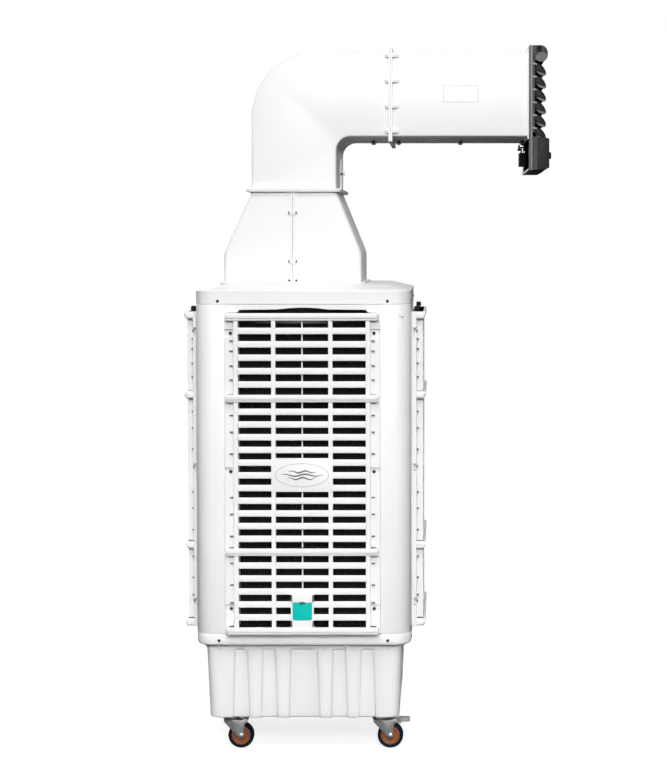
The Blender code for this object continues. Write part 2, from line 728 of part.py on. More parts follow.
def swing_vane(y):
    """An upright vane: a thin blade behind the outlet, with pins at both ends and a link pin."""
    blade = box((0.600, y - 0.0012, SWING_LOW), (0.6585, y + 0.0012, SWING_HIGH))
    hub = rod("z", (SWING_X, y), PIN + 0.0005, SWING_LOW, SWING_HIGH, 10)
    pin_ends = (SWING_SOCKETS[0] + 0.002, SWING_SOCKETS[1] - 0.002)
    low_pin = rod("z", (SWING_X, y), PIN, pin_ends[0], SWING_LOW + 0.001, 8)
    high_pin = rod("z", (SWING_X, y), PIN, SWING_HIGH - 0.001, pin_ends[1], 8)
    crank = rod("z", (SWING_LINK, y), LINK_PIN, SWING_LOW - 0.006, SWING_LOW + 0.001, 8)
    return union(blade, hub, low_pin, high_pin, crank)


def swing_link():
    """The bar under the upright vanes."""
    half, past = 0.004, 0.008
    low = (SWING_LINK - half, SWING_Y[0] - past, SWING_LOW - 0.005)
    bar = box(low, (SWING_LINK + half, SWING_Y[-1] + past, SWING_LOW - 0.0015))
    return cut(bar, *[rod("z", (SWING_LINK, y), LINK_HOLE, 1.78, 1.80, 8) for y in SWING_Y])


swing_vanes = [
    node(f"vane_v_{step + 1}", swing_vane(y), "grey_plastic", pivot=(SWING_X, y, SWING_LOW))
    for step, y in enumerate(SWING_Y)
]
link_pivot = (SWING_LINK, SWING_Y[0], SWING_LOW)
node("vane_v_link", swing_link(), "grey_plastic", pivot=link_pivot, parent=swing_vanes[0])


def motor_cover():
    """A chamfered cover under the vanes, open behind, with a cheek at each side and a knob."""
    back = OUTLET_FACE + GAP
    outline = [(back, CASE_TOP), (CASE_X - 0.006, CASE_TOP), (CASE_X, CASE_TOP - 0.006)]
    outline += [(CASE_X, OUTLET_LOW + 0.010), (CASE_X - 0.014, OUTLET_LOW), (back, OUTLET_LOW)]
    body = prism("y", outline, -OUTLET_HALF, OUTLET_HALF)
    cheek = [(back, CHEEK_TOP), (CASE_X - 0.012, CHEEK_TOP), (CASE_X, CHEEK_TOP - 0.007)]
    cheek += [(CASE_X, CASE_TOP - 0.012), (back, CASE_TOP - 0.012)]
    spans = [sorted((side * (OUTLET_HALF - CHEEK), side * OUTLET_HALF)) for side in (-1, 1)]
    cheeks = [prism("y", cheek, *span) for span in spans]
    hollow = box(
        (back - 0.01, 0.007 - OUTLET_HALF, OUTLET_LOW + 0.006),
        (CASE_X - 2 * SHEET, OUTLET_HALF - 0.007, CASE_TOP - SHEET),
    )
    knob = rod("x", (KNOB_Y, KNOB_Z), KNOB, CASE_X - CHEEK, KNOB_REACH, 16)
    return cut(union(body, *cheeks, knob), hollow)


node("outlet_motor_cover", motor_cover(), "black_plastic")

motor_case = box((MOTOR_X, -MOTOR_HALF, MOTOR_LOW), (DUCT_END - GAP, MOTOR_HALF, MOTOR_TOP))
motor_neck = rod("z", (MOTOR_X + 0.010, 0), SHAFT, MOTOR_TOP - 0.001, MOTOR_TOP + 0.010)
node("swing_motor", union(motor_case, motor_neck), "black_plastic")


# Fan: shroud with its motor cross, motor, impeller
def fan_shroud():
    """A flanged tube with two crossed arms under the motor."""
    outer = FAN_RADIUS + 0.003
    brim = FAN_RADIUS + 0.022
    profile = ((outer, SHROUD_LOW), (outer, SHROUD_HIGH - SHEET), (brim, SHROUD_HIGH - SHEET))
    profile += ((brim, SHROUD_HIGH), (FAN_RADIUS, SHROUD_HIGH), (FAN_RADIUS, SHROUD_LOW))
    tube = turned("z", (0, 0), profile, 2 * ROUND, hollow=True)
    reach = FAN_RADIUS + 0.001
    arm = box((-reach, -CROSS_HALF, SHROUD_LOW), (reach, CROSS_HALF, CROSS_HIGH))
    return moved(union(tube, arm, moved(arm, turn(90))), shift(AIR_X, 0, 0))


node("fan_shroud", fan_shroud(), "grey_plastic")

can_end, can_edge = 0.040, 0.008
motor_profile = ((can_end, CROSS_HIGH + GAP), (FAN_MOTOR, CROSS_HIGH + can_edge))
motor_profile += ((FAN_MOTOR, FAN_MOTOR_HIGH - can_edge), (can_end, FAN_MOTOR_HIGH))
motor_profile += ((SHAFT, FAN_MOTOR_HIGH), (SHAFT, HUB_HIGH + 0.004))
node("fan_motor", turned("z", (AIR_X, 0), motor_profile), "copper_motor")


def impeller(centre, hub_radius, bore, low, high, tip, blades, pitch):
    """A bored hub with flat blades set at a pitch, in degrees from level."""
    rim = ((hub_radius, low), (hub_radius, high), (bore, high), (bore, low))
    hub = turned("z", centre, rim, ROUND, hollow=True)
    reach = (tip - hub_radius) / 2 + 0.002
    width = (high - low) / (2.4 * math.sin(math.radians(pitch)))
    pieces = []
    for step in range(blades):
        blade = box((-reach, -width, -0.0015), (reach, width, 0.0015))
        steps = (
            turn(pitch, "X"),
            shift(tip - reach, 0, (low + high) / 2),
            turn(360 * step / blades),
            shift(*centre, 0),
        )
        pieces.append(moved(blade, *steps))
    return union(hub, *pieces)


fan = impeller((AIR_X, 0), HUB_RADIUS, SHAFT + 0.0005, HUB_LOW, HUB_HIGH, FAN_TIP, BLADES, BLADE_PITCH)
node("fan_impeller", fan, "black_plastic", pivot=(AIR_X, 0, HUB_LOW))


# Pump, pipe, float valve and drain plug
def water_pump():
    """A cup that stands on the tank's floor, slotted for its inlet, with the rotor's spindle."""
    edge, neck, below = 0.006, 0.009, TANK_LOW
    cup = ((PUMP_RADIUS, PUMP_FOOT), (PUMP_RADIUS, PUMP_HIGH - 0.01))
    cup += ((PUMP_RADIUS - edge, PUMP_HIGH), (neck, PUMP_HIGH))
    chamber = rod("z", (0, 0), PUMP_RADIUS - 0.005, below, ROTOR_HIGH + 0.0035, ROUND)
    inlet = box((-0.05, -0.012, below), (0.05, 0.012, ROTOR_LOW - 0.0025))
    spindle = rod("z", (0, 0), 0.0028, ROTOR_LOW - 0.0075, ROTOR_HIGH + 0.0085)
    body = cut(turned("z", (0, 0), cup), chamber, inlet, moved(inlet, turn(90)))
    return moved(union(body, spindle), shift(*PUMP, 0))


node("water_pump", water_pump(), "black_plastic")
rotor = impeller(PUMP, 0.010, 0.0034, ROTOR_LOW, ROTOR_HIGH, 0.026, 6, 89)
node("pump_impeller", rotor, "grey_plastic", pivot=(*PUMP, ROTOR_LOW))

pipe_corners = (
    (*PUMP, PUMP_HIGH + GAP),
    (*PUMP, PIPE_HIGH),
    (PIPE_RUN, PUMP[1], PIPE_HIGH),
    (PIPE_RUN, -PIPE_RUN, PIPE_HIGH),
    (-PIPE_RUN, -PIPE_RUN, PIPE_HIGH),
    (-PIPE_RUN, 0.20, PIPE_HIGH),
)


def bent_pipe(corners, radius, bend):
    """A pipe through corners that are square to each other, each rounded by an arc."""
    points = [Vector(corners[0])]
    for before, corner, after in zip(corners, corners[1:], corners[2:]):
        corner = Vector(corner)
        start = (Vector(before) - corner).normalized() * bend
        end = (Vector(after) - corner).normalized() * bend
        for step in range(4):
            angle = math.radians(30 * step)
            points.append(corner + start * (1 - math.sin(angle)) + end * (1 - math.cos(angle)))
    points.append(Vector(corners[-1]))
    curve = bpy.data.curves.new("pipe", "CURVE")
    curve.dimensions = "3D"
    curve.bevel_depth = radius
    curve.bevel_resolution = 2
    curve.use_fill_caps = True
    spline = curve.splines.new("POLY")
    spline.points.add(len(points) - 1)
    for point, place in zip(spline.points, points):
        point.co = (*place, 1)
    holder = bpy.data.objects.new("pipe", curve)
    mesh = bpy.data.meshes.new_from_object(holder)
    bpy.data.objects.remove(holder)
    welded = bmesh.new()
    welded.from_mesh(mesh)
    bmesh.ops.remove_doubles(welded, verts=welded.verts, dist=0.00001)
    bmesh.ops.recalc_face_normals(welded, faces=welded.faces)
    welded.to_mesh(mesh)
    welded.free()
    return mesh


node("water_pipe", bent_pipe(pipe_corners, PIPE, 0.02), "blue_pipe")



def float_valve():
    """The valve's body inside the tank, its threaded stub through the wall, and the lever's pin."""
    radius, start, step_at, end = 0.013, 0.226, 0.262, 0.318
    profile = ((radius, start), (radius, step_at), (FLOAT_STUB, step_at), (FLOAT_STUB, end))
    valve = turned("y", (FLOAT_X, FLOAT_Z), profile, 16)
    bore = rod("y", (FLOAT_X, FLOAT_Z), 0.005, 0.290, end + 0.01, 10)
    pin = rod("y", (FLOAT_PIVOT[0], FLOAT_Z), LINK_PIN, 0.205, start + 0.004, 8)
    return union(cut(valve, bore), pin)


def float_arm():
    """The lever, its eye and its float, level, about the lever's pin."""
    lever = box((-FLOAT_REACH, -0.003, -0.004), (0.005, 0.003, 0.004))
    half, bevelled = 0.016, 0.008
    rows = ((0.02, -half), (0.028, -bevelled), (0.028, bevelled), (0.02, half))
    bobber = turned("z", (-FLOAT_REACH - 0.02, 0), rows, 16)
    eye = rod("y", (0, 0), 0.006, -0.003, 0.003)
    bore = rod("y", (0, 0), LINK_HOLE, -0.01, 0.01, 8)
    return cut(union(lever, bobber, eye), bore)


def drain_plug():
    """A stepped plug with a flange against the tank's wall and a pull."""
    stem = DRAIN_HOLE - 2 * GAP
    profile = ((0.008, DRAIN_SEAT - 0.0155), (stem, DRAIN_SEAT - 0.0115), (stem, DRAIN_SEAT))
    profile += ((0.017, DRAIN_SEAT), (0.017, DRAIN_SEAT + 0.0055))
    profile += ((0.010, DRAIN_SEAT + 0.0075), (0.010, DRAIN_SEAT + 0.0165))
    return turned("y", (DRAIN_X, DRAIN_Z), profile, 16)


node("float_valve", float_valve(), "zinc")
drooped = moved(float_arm(), turn(-FLOAT_DROOP, "Y"), shift(*FLOAT_PIVOT))
node("float_arm", drooped, "teal_plastic", pivot=FLOAT_PIVOT)
node("drain_plug", drain_plug(), "black_plastic", pivot=(DRAIN_X, DRAIN_SEAT, DRAIN_Z))


# Casters: a fork on a swivel, a wheel on the fork's axle and, on the right, a brake pedal. Each is
# made about its swivel, trailing towards +X, and the rear ones are turned to trail towards -X.
def fork():
    """A fork: a swivel head, a crown and two legs that taper to the axle."""
    head = rod("z", (0, 0), 0.024, CROWN_HIGH - 0.0005, FORK_HIGH, 16)
    back, front, ear = -0.020, 0.032, 0.048
    outside = LEG + LEG_SHEET
    crown = box((back, -outside, CROWN_LOW), (front, outside, CROWN_HIGH))
    top = CROWN_HIGH - 0.0002
    outline = [(back, top), (back, CROWN_LOW - 0.001)] + arc((TRAIL, WHEEL), 0.009, 215, 360, 5)
    outline += [(TRAIL + 0.007, 0.066), (ear, 0.077), (ear, 0.0865), (front + 0.002, 0.0865)]
    outline.append((front - 0.001, top))
    pieces = []
    for side in (-1, 1):
        leg = prism("y", outline, *sorted((side * LEG, side * outside)))
        pieces.append(cut(leg, rod("y", BRAKE_AT, 0.0028, -0.03, 0.03, 8)))
        nut = sorted((side * (outside - 0.001), side * (outside + 0.005)))
        pieces.append(rod("y", (TRAIL, WHEEL), 0.006, *nut, 6))
    axle = rod("y", (TRAIL, WHEEL), 0.004, -LEG - 0.001, LEG + 0.001)
    return union(head, crown, axle, *pieces)


def wheel():
    """A bored hub with a dished web and a solid tread."""
    half = TREAD / 2
    profile = ((0.0045, half + 0.0015), (0.011, half + 0.0015), (0.012, half - 0.004))
    profile += ((0.027, half - 0.003), (WHEEL - 0.004, half), (WHEEL, half - 0.005))
    profile += tuple((radius, -along) for radius, along in reversed(profile))
    return turned("y", (TRAIL, WHEEL), profile, ROUND, hollow=True)


def brake():
    """A foot pedal that turns on pins in the fork's ears."""
    tongue = box((0.034, 0.001 - LEG, 0.0785), (0.052, LEG - 0.001, 0.0835))
    pad = box((0.050, -0.017, 0.0800), (0.086, 0.017, 0.0880))
    under = box((0.056, -0.020, 0.0780), (0.082, 0.020, 0.0840))
    pins = rod("y", BRAKE_AT, 0.0022, -LEG - LEG_SHEET, LEG + LEG_SHEET, 8)
    return cut(union(tongue, pad, pins), under)


caster_fork, caster_wheel, caster_brake = fork(), wheel(), brake()
for side_name, side in (("left", -1), ("right", 1)):
    for end_name, end in (("front", -1), ("rear", 1)):
        place = f"{end_name}_{side_name}"
        swivel = (side * CASTER, end * CASTER_Y, FORK_HIGH)
        steps = (turn(180 if end > 0 else 0), shift(swivel[0], swivel[1], 0))
        made = node(f"caster_fork_{place}", moved(caster_fork, *steps), "zinc", pivot=swivel)
        hub_at = (swivel[0] - end * TRAIL, swivel[1], WHEEL)
        node(f"caster_wheel_{place}", moved(caster_wheel, *steps), "tyre", pivot=hub_at, parent=made)
        if side > 0:
            pedal_at = (swivel[0] - end * BRAKE_AT[0], swivel[1], BRAKE_AT[1])
            pedal = moved(caster_brake, *steps)
            node(f"brake_pedal_{place}", pedal, "zinc", pivot=pedal_at, parent=made)
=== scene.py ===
import json
import math

import bmesh
import bpy
from mathutils import Matrix, Vector

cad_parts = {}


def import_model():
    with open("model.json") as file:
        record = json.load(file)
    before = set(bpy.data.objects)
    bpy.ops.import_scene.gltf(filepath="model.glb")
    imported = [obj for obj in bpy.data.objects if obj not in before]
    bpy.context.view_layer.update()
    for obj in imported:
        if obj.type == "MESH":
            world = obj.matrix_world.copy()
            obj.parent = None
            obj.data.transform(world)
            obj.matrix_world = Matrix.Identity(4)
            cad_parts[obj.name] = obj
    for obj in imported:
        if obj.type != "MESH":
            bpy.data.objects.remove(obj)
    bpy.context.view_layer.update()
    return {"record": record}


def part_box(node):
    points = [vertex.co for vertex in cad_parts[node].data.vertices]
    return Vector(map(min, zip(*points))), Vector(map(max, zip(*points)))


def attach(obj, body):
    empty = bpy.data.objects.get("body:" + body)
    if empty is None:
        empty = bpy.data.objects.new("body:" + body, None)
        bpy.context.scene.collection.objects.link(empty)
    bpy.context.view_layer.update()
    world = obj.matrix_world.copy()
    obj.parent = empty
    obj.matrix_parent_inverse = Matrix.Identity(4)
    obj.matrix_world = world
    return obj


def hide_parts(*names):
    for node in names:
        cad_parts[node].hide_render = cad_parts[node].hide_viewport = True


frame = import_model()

# The frame's sizes. Pieces are made about the cabinet's middle and moved HOME at the end.
ring_low, ring_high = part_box("base_ring")
middle = (ring_low + ring_high) / 2
HOME = Matrix.Translation((middle.x, middle.y, 0))


def local_box(name):
    """A CAD node's lowest and highest corners about the cabinet's middle."""
    low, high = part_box(name)
    offset = Vector((middle.x, middle.y, 0))
    return low - offset, high - offset


JOINTS = {joint["name"]: joint for joint in frame["record"]["behaviour"]["joints"]}


def joint_spot(name):
    """A joint's place about the cabinet's middle."""
    return Vector(JOINTS[name]["pos_m"]) - Vector((middle.x, middle.y, 0))


BODY = (ring_high.x - ring_low.x) / 2
CORNER = 0.052
BAY = local_box("panel_front")[1].x
TANK_LOW, TANK_HIGH = (corner.z for corner in local_box("tank"))
TANK_RIM = local_box("tank")[1].x
TANK_FOOT = TANK_RIM - 0.009
RING_LOW, RING_TOP = ring_low.z, ring_high.z
COLUMN_LOW, COLUMN_TOP = (corner.z for corner in local_box("column_front_left"))
HEADER_LOW, HEADER_TOP = (corner.z for corner in local_box("upper_frame"))
COVER_LOW, COVER_TOP = (corner.z for corner in local_box("top_cover"))
PANEL_LOW, PANEL_TOP = (corner.z for corner in local_box("panel_front"))
PANEL_FRONT = local_box("panel_front")[0].y
HOOD_LEFT = local_box("hood_left")
HOOD_RIGHT = local_box("hood_right")
ELBOW = local_box("elbow_front")
DUCT = local_box("duct_front")
OUTLET = local_box("outlet_frame")
GAP = 0.0003
SHEET = 0.004

# Looks: name, colour, roughness, metallic, grain per metre, grain depth, colour variation, gloss level.
FINISHES = {
    "white": ((0.86, 0.862, 0.865), 0.42, 0.0, 420, 0.10, 0.035, 0.5),
    "white_clean": ((0.88, 0.882, 0.885), 0.34, 0.0, 420, 0.06, 0.03, 0.5),
    "charcoal": ((0.015, 0.0155, 0.017), 0.44, 0.0, 520, 0.18, 0.35, 0.13),
    "charcoal_soft": ((0.052, 0.054, 0.057), 0.45, 0.0, 520, 0.18, 0.25, 0.18),
    "grey": ((0.30, 0.31, 0.32), 0.5, 0.0, 480, 0.15, 0.12, 0.4),
    "pale_grey": ((0.235, 0.24, 0.245), 0.42, 0.0, 480, 0.15, 0.12, 0.35),
    "slate": ((0.115, 0.118, 0.123), 0.42, 0.0, 520, 0.18, 0.18, 0.3),
    "inner_black": ((0.006, 0.006, 0.007), 0.6, 0.0, 300, 0.2, 0.4, 0.15),
    "teal": ((0.003, 0.50, 0.44), 0.42, 0.0, 420, 0.08, 0.08, 0.12),
    "tyre": ((0.001, 0.012, 0.026), 0.6, 0.0, 900, 0.35, 0.5, 0.08),
    "hub": ((0.30, 0.095, 0.036), 0.42, 0.0, 260, 0.15, 0.25, 0.3),
    "screw": ((0.06, 0.06, 0.065), 0.38, 0.8, 700, 0.15, 0.4, 0.4),
    "bright": ((0.62, 0.62, 0.61), 0.28, 0.9, 700, 0.10, 0.10, 0.5),
    "pipe": ((0.05, 0.18, 0.40), 0.4, 0.0, 300, 0.08, 0.1, 0.4),
    "motor": ((0.09, 0.1, 0.11), 0.45, 0.6, 500, 0.2, 0.25, 0.4),
    "mark": ((0.16, 0.165, 0.17), 0.45, 0.0, 500, 0.08, 0.12, 0.3),
}


class Surface:
    """A node material made step by step."""

    def __init__(self, name):
        self.material = bpy.data.materials.new(name)
        self.material.use_nodes = True
        self.tree = self.material.node_tree
        self.shader = self.tree.nodes["Principled BSDF"]

    def add(self, kind, inputs=None, **settings):
        made = self.tree.nodes.new(kind)
        for key, value in settings.items():
            setattr(made, key, value)
        for key, value in (inputs or {}).items():
            if isinstance(value, bpy.types.NodeSocket):
                self.tree.links.new(value, made.inputs[key])
            else:
                made.inputs[key].default_value = value
        return made

    def noise(self, place, scale, detail=3.0, roughness=0.55):
        inputs = {"Vector": place, "Scale": scale, "Detail": detail, "Roughness": roughness}
        return self.add("ShaderNodeTexNoise", inputs).outputs["Fac"]

    def remap(self, value, low, high, start=0.3, end=0.7):
        inputs = {"Value": value, "From Min": start, "From Max": end, "To Min": low, "To Max": high}
        return self.add("ShaderNodeMapRange", inputs).outputs["Result"]

    def math(self, operation, first, second):
        return self.add("ShaderNodeMath", {0: first, 1: second}, operation=operation).outputs[0]

    def mix(self, amount, first, second):
        inputs = {"Factor": amount, "A": first, "B": second}
        made = self.add("ShaderNodeMix", data_type="RGBA")
        for key, value in inputs.items():
            socket = [s for s in made.inputs if s.name == key and s.enabled][0]
            if isinstance(value, bpy.types.NodeSocket):
                self.tree.links.new(value, socket)
            else:
                socket.default_value = value
        return [s for s in made.outputs if s.enabled][0]

    def place(self, stretch=(1, 1, 1)):
        where = self.add("ShaderNodeTexCoord").outputs["Object"]
        return self.add("ShaderNodeMapping", {"Vector": where, "Scale": stretch}).outputs[0]

    def bump(self, height, strength, distance):
        inputs = {"Height": height, "Strength": strength, "Distance": distance}
        normal = self.add("ShaderNodeBump", inputs).outputs[0]
        self.tree.links.new(normal, self.shader.inputs["Normal"])

    def put(self, socket, value):
        self.tree.links.new(value, self.shader.inputs[socket])


def scaled(color, factor):
    return (*(min(1.0, part * factor) for part in color), 1)


def finish_of(name):
    """Moulded or plated surface: fine grain, slow colour drift, rubbed edges, and painted shade that darkens
    its hollows.
    """
    color, roughness, metallic, grain, depth, vary, gloss = FINISHES[name]
    made = Surface(name)
    place = made.place()
    slow = made.noise(place, 4.0, 4.0)
    fine = made.noise(place, grain, 2.0)
    blotch = made.noise(place, 38.0, 5.0, 0.65)
    drift = made.mix(made.remap(slow, 0, 1), scaled(color, 1 - vary), scaled(color, 1 + vary * 0.6))
    edge = made.add("ShaderNodeNewGeometry").outputs["Pointiness"]
    rubbed = made.remap(edge, 0, 0.55, 0.52, 0.60)
    worn = made.math("MULTIPLY", rubbed, made.remap(blotch, 0.2, 1.0))
    lit = made.mix(worn, drift, scaled(color, 1 + vary * 1.4))
    # Painted shade: concave places, found by low pointiness, are drawn darker.
    hollow = made.remap(edge, 0.35, 0.0, 0.40, 0.49)
    hollow_shaded = made.mix(hollow, lit, scaled(color, 1 - vary * 2.2))
    made.put("Base Color", hollow_shaded)
    spread = made.remap(blotch, roughness - 0.05, roughness + 0.07)
    made.put("Roughness", made.math("ADD", spread, made.math("MULTIPLY", worn, 0.08)))
    made.shader.inputs["Metallic"].default_value = metallic
    made.shader.inputs["Specular IOR Level"].default_value = gloss
    made.bump(fine, depth, 0.0006)
    return made.material


def zinc():
    """Zinc-plated pressed steel: spangle, faint brushing and dull patches."""
    made = Surface("zinc")
    place = made.place()
    cells = made.add("ShaderNodeTexVoronoi", {"Vector": place, "Scale": 260.0}).outputs["Color"]
    blotch = made.noise(place, 60.0, 5.0)
    streak = made.noise(made.place((1, 1, 14)), 90.0, 3.0)
    grey = made.mix(made.remap(blotch, 0, 1), (0.33, 0.335, 0.34, 1), (0.52, 0.525, 0.53, 1))
    value = made.add("ShaderNodeSeparateColor", {"Color": cells}).outputs[0]
    tone = made.mix(made.math("MULTIPLY", value, 0.25), grey, (0.62, 0.62, 0.62, 1))
    made.put("Base Color", tone)
    made.put("Roughness", made.remap(streak, 0.3, 0.52))
    made.shader.inputs["Metallic"].default_value = 0.75
    made.bump(streak, 0.12, 0.0005)
    return made.material


def pad_paper():
    """Near-black pad: upright flutes, with broken highlights painted into its colour."""
    made = Surface("pad_paper")
    place = made.place()
    blotch = made.noise(place, 45.0, 5.0)
    waves = made.add(
        "ShaderNodeTexWave",
        {"Vector": made.place((1, 1, 0.02)), "Scale": 70.0, "Distortion": 1.5},
        wave_type="BANDS",
        bands_direction="DIAGONAL",
    ).outputs["Fac"]
    base = made.mix(made.remap(blotch, 0, 1), (0.004, 0.004, 0.005, 1), (0.013, 0.012, 0.011, 1))
    # Painted highlight: lighter bands of colour along the waves.
    made.put("Base Color", made.mix(made.math("MULTIPLY", waves, 0.5), base, (0.020, 0.019, 0.018, 1)))
    made.put("Roughness", made.remap(blotch, 0.7, 0.95))
    made.bump(waves, 0.5, 0.002)
    return made.material


LOOK = {name: finish_of(name) for name in FINISHES}
LOOK["zinc"] = zinc()
LOOK["pad_paper"] = pad_paper()


# Shapes. Each adds closed shells to a bmesh.
def at(axis, u, v, along):
    return {"x": (along, u, v), "y": (u, along, v), "z": (u, v, along)}[axis]


def flat(axis, outline, along):
    """An outline set square to an axis, at a place along it."""
    return [at(axis, u, v, along) for u, v in outline]


def both_sides(near, far):
    """The span from near to far on the minus side and then on the plus side."""
    return [sorted((side * near, side * far)) for side in (-1, 1)]


def skin(shape, rings, hollow=False):
    """A stack of equal rings, capped at both ends or, if hollow, closed on itself."""
    rows = [[shape.verts.new(point) for point in ring] for ring in rings]
    faces = []
    pairs = list(zip(rows, rows[1:]))
    if hollow:
        pairs.append((rows[-1], rows[0]))
    else:
        faces += [shape.faces.new(rows[0]), shape.faces.new(rows[-1])]
    for low, high in pairs:
        for i in range(len(low)):
            j = (i + 1) % len(low)
            faces.append(shape.faces.new((low[i], low[j], high[j], high[i])))
    bmesh.ops.recalc_face_normals(shape, faces=faces)
    return [vert for row in rows for vert in row]


def prism(shape, axis, outline, low, high):
    return skin(shape, [flat(axis, outline, end) for end in (low, high)])


def block(shape, low, high):
    outline = [(low[0], low[1]), (high[0], low[1]), (high[0], high[1]), (low[0], high[1])]
    return prism(shape, "z", outline, low[2], high[2])


def arc(centre, radius, start, end, steps):
    angles = [math.radians(start + (end - start) * step / steps) for step in range(steps + 1)]
    return [(centre[0] + radius * math.cos(a), centre[1] + radius * math.sin(a)) for a in angles]


def rounded(half_x, half_y, corner, steps=8, centre=(0, 0)):
    """A rounded rectangle's outline."""
    outline = []
    for turn, (side_x, side_y) in enumerate(((1, 1), (-1, 1), (-1, -1), (1, -1))):
        hub = (centre[0] + side_x * (half_x - corner), centre[1] + side_y * (half_y - corner))
        outline += arc(hub, corner, 90 * turn, 90 * turn + 90, steps)
    return outline


def soft_plate(shape, axis, outline_of, low, high, edge, steps=3):
    """A plate with both rims rounded: outline_of(inset) gives its outline moved inwards."""
    rings = []
    for end, sign, order in ((low, 1, range(steps + 1)), (high, -1, range(steps, -1, -1))):
        for step in order:
            angle = math.radians(90 * step / steps)
            inset = edge * (1 - math.sin(angle))
            along = end + sign * edge * (1 - math.cos(angle))
            rings.append(flat(axis, outline_of(inset), along))
    return skin(shape, rings)


def rounded_plate(shape, axis, size, corner, low, high, edge, steps=2, points=5, centre=(0, 0), drawn=0):
    """A soft plate of two half sizes. With drawn=1 its corners tighten as its rims round off."""
    def outline_of(inset):
        return rounded(size[0] - inset, size[1] - inset, corner - drawn * inset, points, centre)

    soft_plate(shape, axis, outline_of, low, high, edge, steps)


def moved(outline, spot):
    """An outline in x and z, set about a spot."""
    return [(spot.x + x, spot.z + z) for x, z in outline]


def turned(shape, axis, centre, profile, steps=32, hollow=False):
    """Turns (radius, along) points about an axis through centre."""
    rings = []
    for radius, along in profile:
        ring = [
            at(axis, *point, along)
            for point in arc(centre, radius, 0, 360 * (steps - 1) / steps, steps - 1)
        ]
        rings.append(ring)
    return skin(shape, rings, hollow)


def knurl(shape, axis, centre, radius, count, grip, low, high):
    """A circle of fine ridges round a grip."""
    for step in range(count):
        a = 2 * math.pi * step / count
        spot = (centre[0] + radius * math.cos(a), centre[1] + radius * math.sin(a))
        turned(shape, axis, spot, [(grip, low), (grip, high)], 6)


def square_ring(shape, outer, inner, low, high):
    """A level square ring between two outlines, each a half width and a corner radius."""
    rows = (outer, low), (outer, high), (inner, high), (inner, low)
    skin(shape, [flat("z", rounded(half, half, corner), z) for (half, corner), z in rows], hollow=True)


def cut(target, tools):
    """Cuts closed bmesh shapes from a mesh and returns the result."""
    holder = bpy.data.objects.new("target", target)
    bpy.context.collection.objects.link(holder)
    made = [holder]
    for tool in tools:
        mesh = bpy.data.meshes.new("tool")
        tool.to_mesh(mesh)
        tool.free()
        obj = bpy.data.objects.new("tool", mesh)
        bpy.context.collection.objects.link(obj)
        modifier = holder.modifiers.new("cut", "BOOLEAN")
        modifier.operation = "DIFFERENCE"
        modifier.object = obj
        made.append(obj)
    graph = bpy.context.evaluated_depsgraph_get()
    result = bpy.data.meshes.new_from_object(holder.evaluated_get(graph))
    for obj in made:
        bpy.data.objects.remove(obj)
    return result


def mesh_of(shape):
    mesh = bpy.data.meshes.new("shape")
    shape.to_mesh(mesh)
    shape.free()
    return mesh


def soften(obj, edge, angle):
    """Bevels the edges that are sharper than an angle."""
    bevel = obj.modifiers.new("soft_edges", "BEVEL")
    bevel.width = edge
    bevel.segments = 2
    bevel.limit_method = "ANGLE"
    bevel.angle_limit = math.radians(angle)
    return bevel


def piece(name, shape, body, look, stands_for=(), edge=0.0, turn=0, angle=35):
    """Puts a mesh, a bmesh or what a build function makes into the scene, riding on a body."""
    if callable(shape):
        shape = shape_from(shape)
    mesh = shape if isinstance(shape, bpy.types.Mesh) else mesh_of(shape)
    mesh.transform(HOME @ Matrix.Rotation(math.radians(turn), 4, "Z"))
    mesh.name = name
    mesh.materials.clear()
    mesh.materials.append(LOOK[look])
    mesh.shade_smooth()
    mesh.set_sharp_from_angle(angle=math.radians(angle))
    obj = bpy.data.objects.new(name, mesh)
    bpy.context.collection.objects.link(obj)
    if edge:
        soften(obj, edge, angle).harden_normals = True
    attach(obj, body)
    if stands_for:
        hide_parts(*stands_for)


def shape_from(build, *values, **named):
    """A new bmesh filled by a build function."""
    shape = bmesh.new()
    build(shape, *values, **named)
    return shape


# Tank: one skin with soft-edged tapering flutes on every side
FLUTES = (  # middle, half width at the top, half width at the foot
    (-0.182, 0.0155, 0.0212),
    (-0.101, 0.0155, 0.0212),
    (0.0, 0.0355, 0.0423),
    (0.101, 0.0155, 0.0212),
    (0.182, 0.0155, 0.0212),
)
FLUTE_TOP = 0.3055
FLUTE_DEPTH = 0.0095
FLUTE_EDGE = 0.0044
FLUTE_CROWN = 0.008
TANK_CORNER = 0.030
TANK_FLOOR = 0.118
TANK_WALL = 0.013
TANK_HEEL = 0.004  # radius of the wall's lower edge


def smooth(value):
    value = max(0.0, min(1.0, value))
    return value * value * (3 - 2 * value)


def flute_edges(height):
    """Where a tank side's outline needs points at a height, as (place, share of depth)."""
    rise = (height - TANK_LOW) / (FLUTE_TOP - TANK_LOW)
    points = []
    for middle_x, top, foot in FLUTES:
        half = foot + (top - foot) * min(1.0, rise)
        crown = max(0.0, 1 - max(0.0, FLUTE_TOP - height) / FLUTE_CROWN)
        half -= FLUTE_CROWN * (1 - math.sqrt(max(0.0, 1 - crown * crown)))
        depth = smooth((FLUTE_TOP - height) / FLUTE_EDGE)
        places = [half + FLUTE_EDGE * step / 6 for step in range(6, -1, -1)]
        shares = [smooth(1 - step / 6) for step in range(6, -1, -1)]
        left = [(middle_x - place, share * depth) for place, share in zip(places, shares)]
        right = [(middle_x + place, share * depth) for place, share in zip(places, shares)]
        points += left + right[::-1]
    return points


def tank_ring(half, height, fluted, inset=0.0):
    """The tank's outline at a height, with or without its flutes."""
    corner = TANK_CORNER - inset
    reach = half - inset
    ring = []
    for quarter in range(4):
        turn = Matrix.Rotation(math.radians(90 * quarter), 4, "Z")
        side = [
            Vector((place, -reach + FLUTE_DEPTH * share * fluted, height))
            for place, share in flute_edges(height)
        ]
        hub = (reach - corner, -reach + corner)
        side += [Vector((x, y, height)) for x, y in arc(hub, corner, -90, 0, 10)]
        ring += [turn @ point for point in side]
    return ring


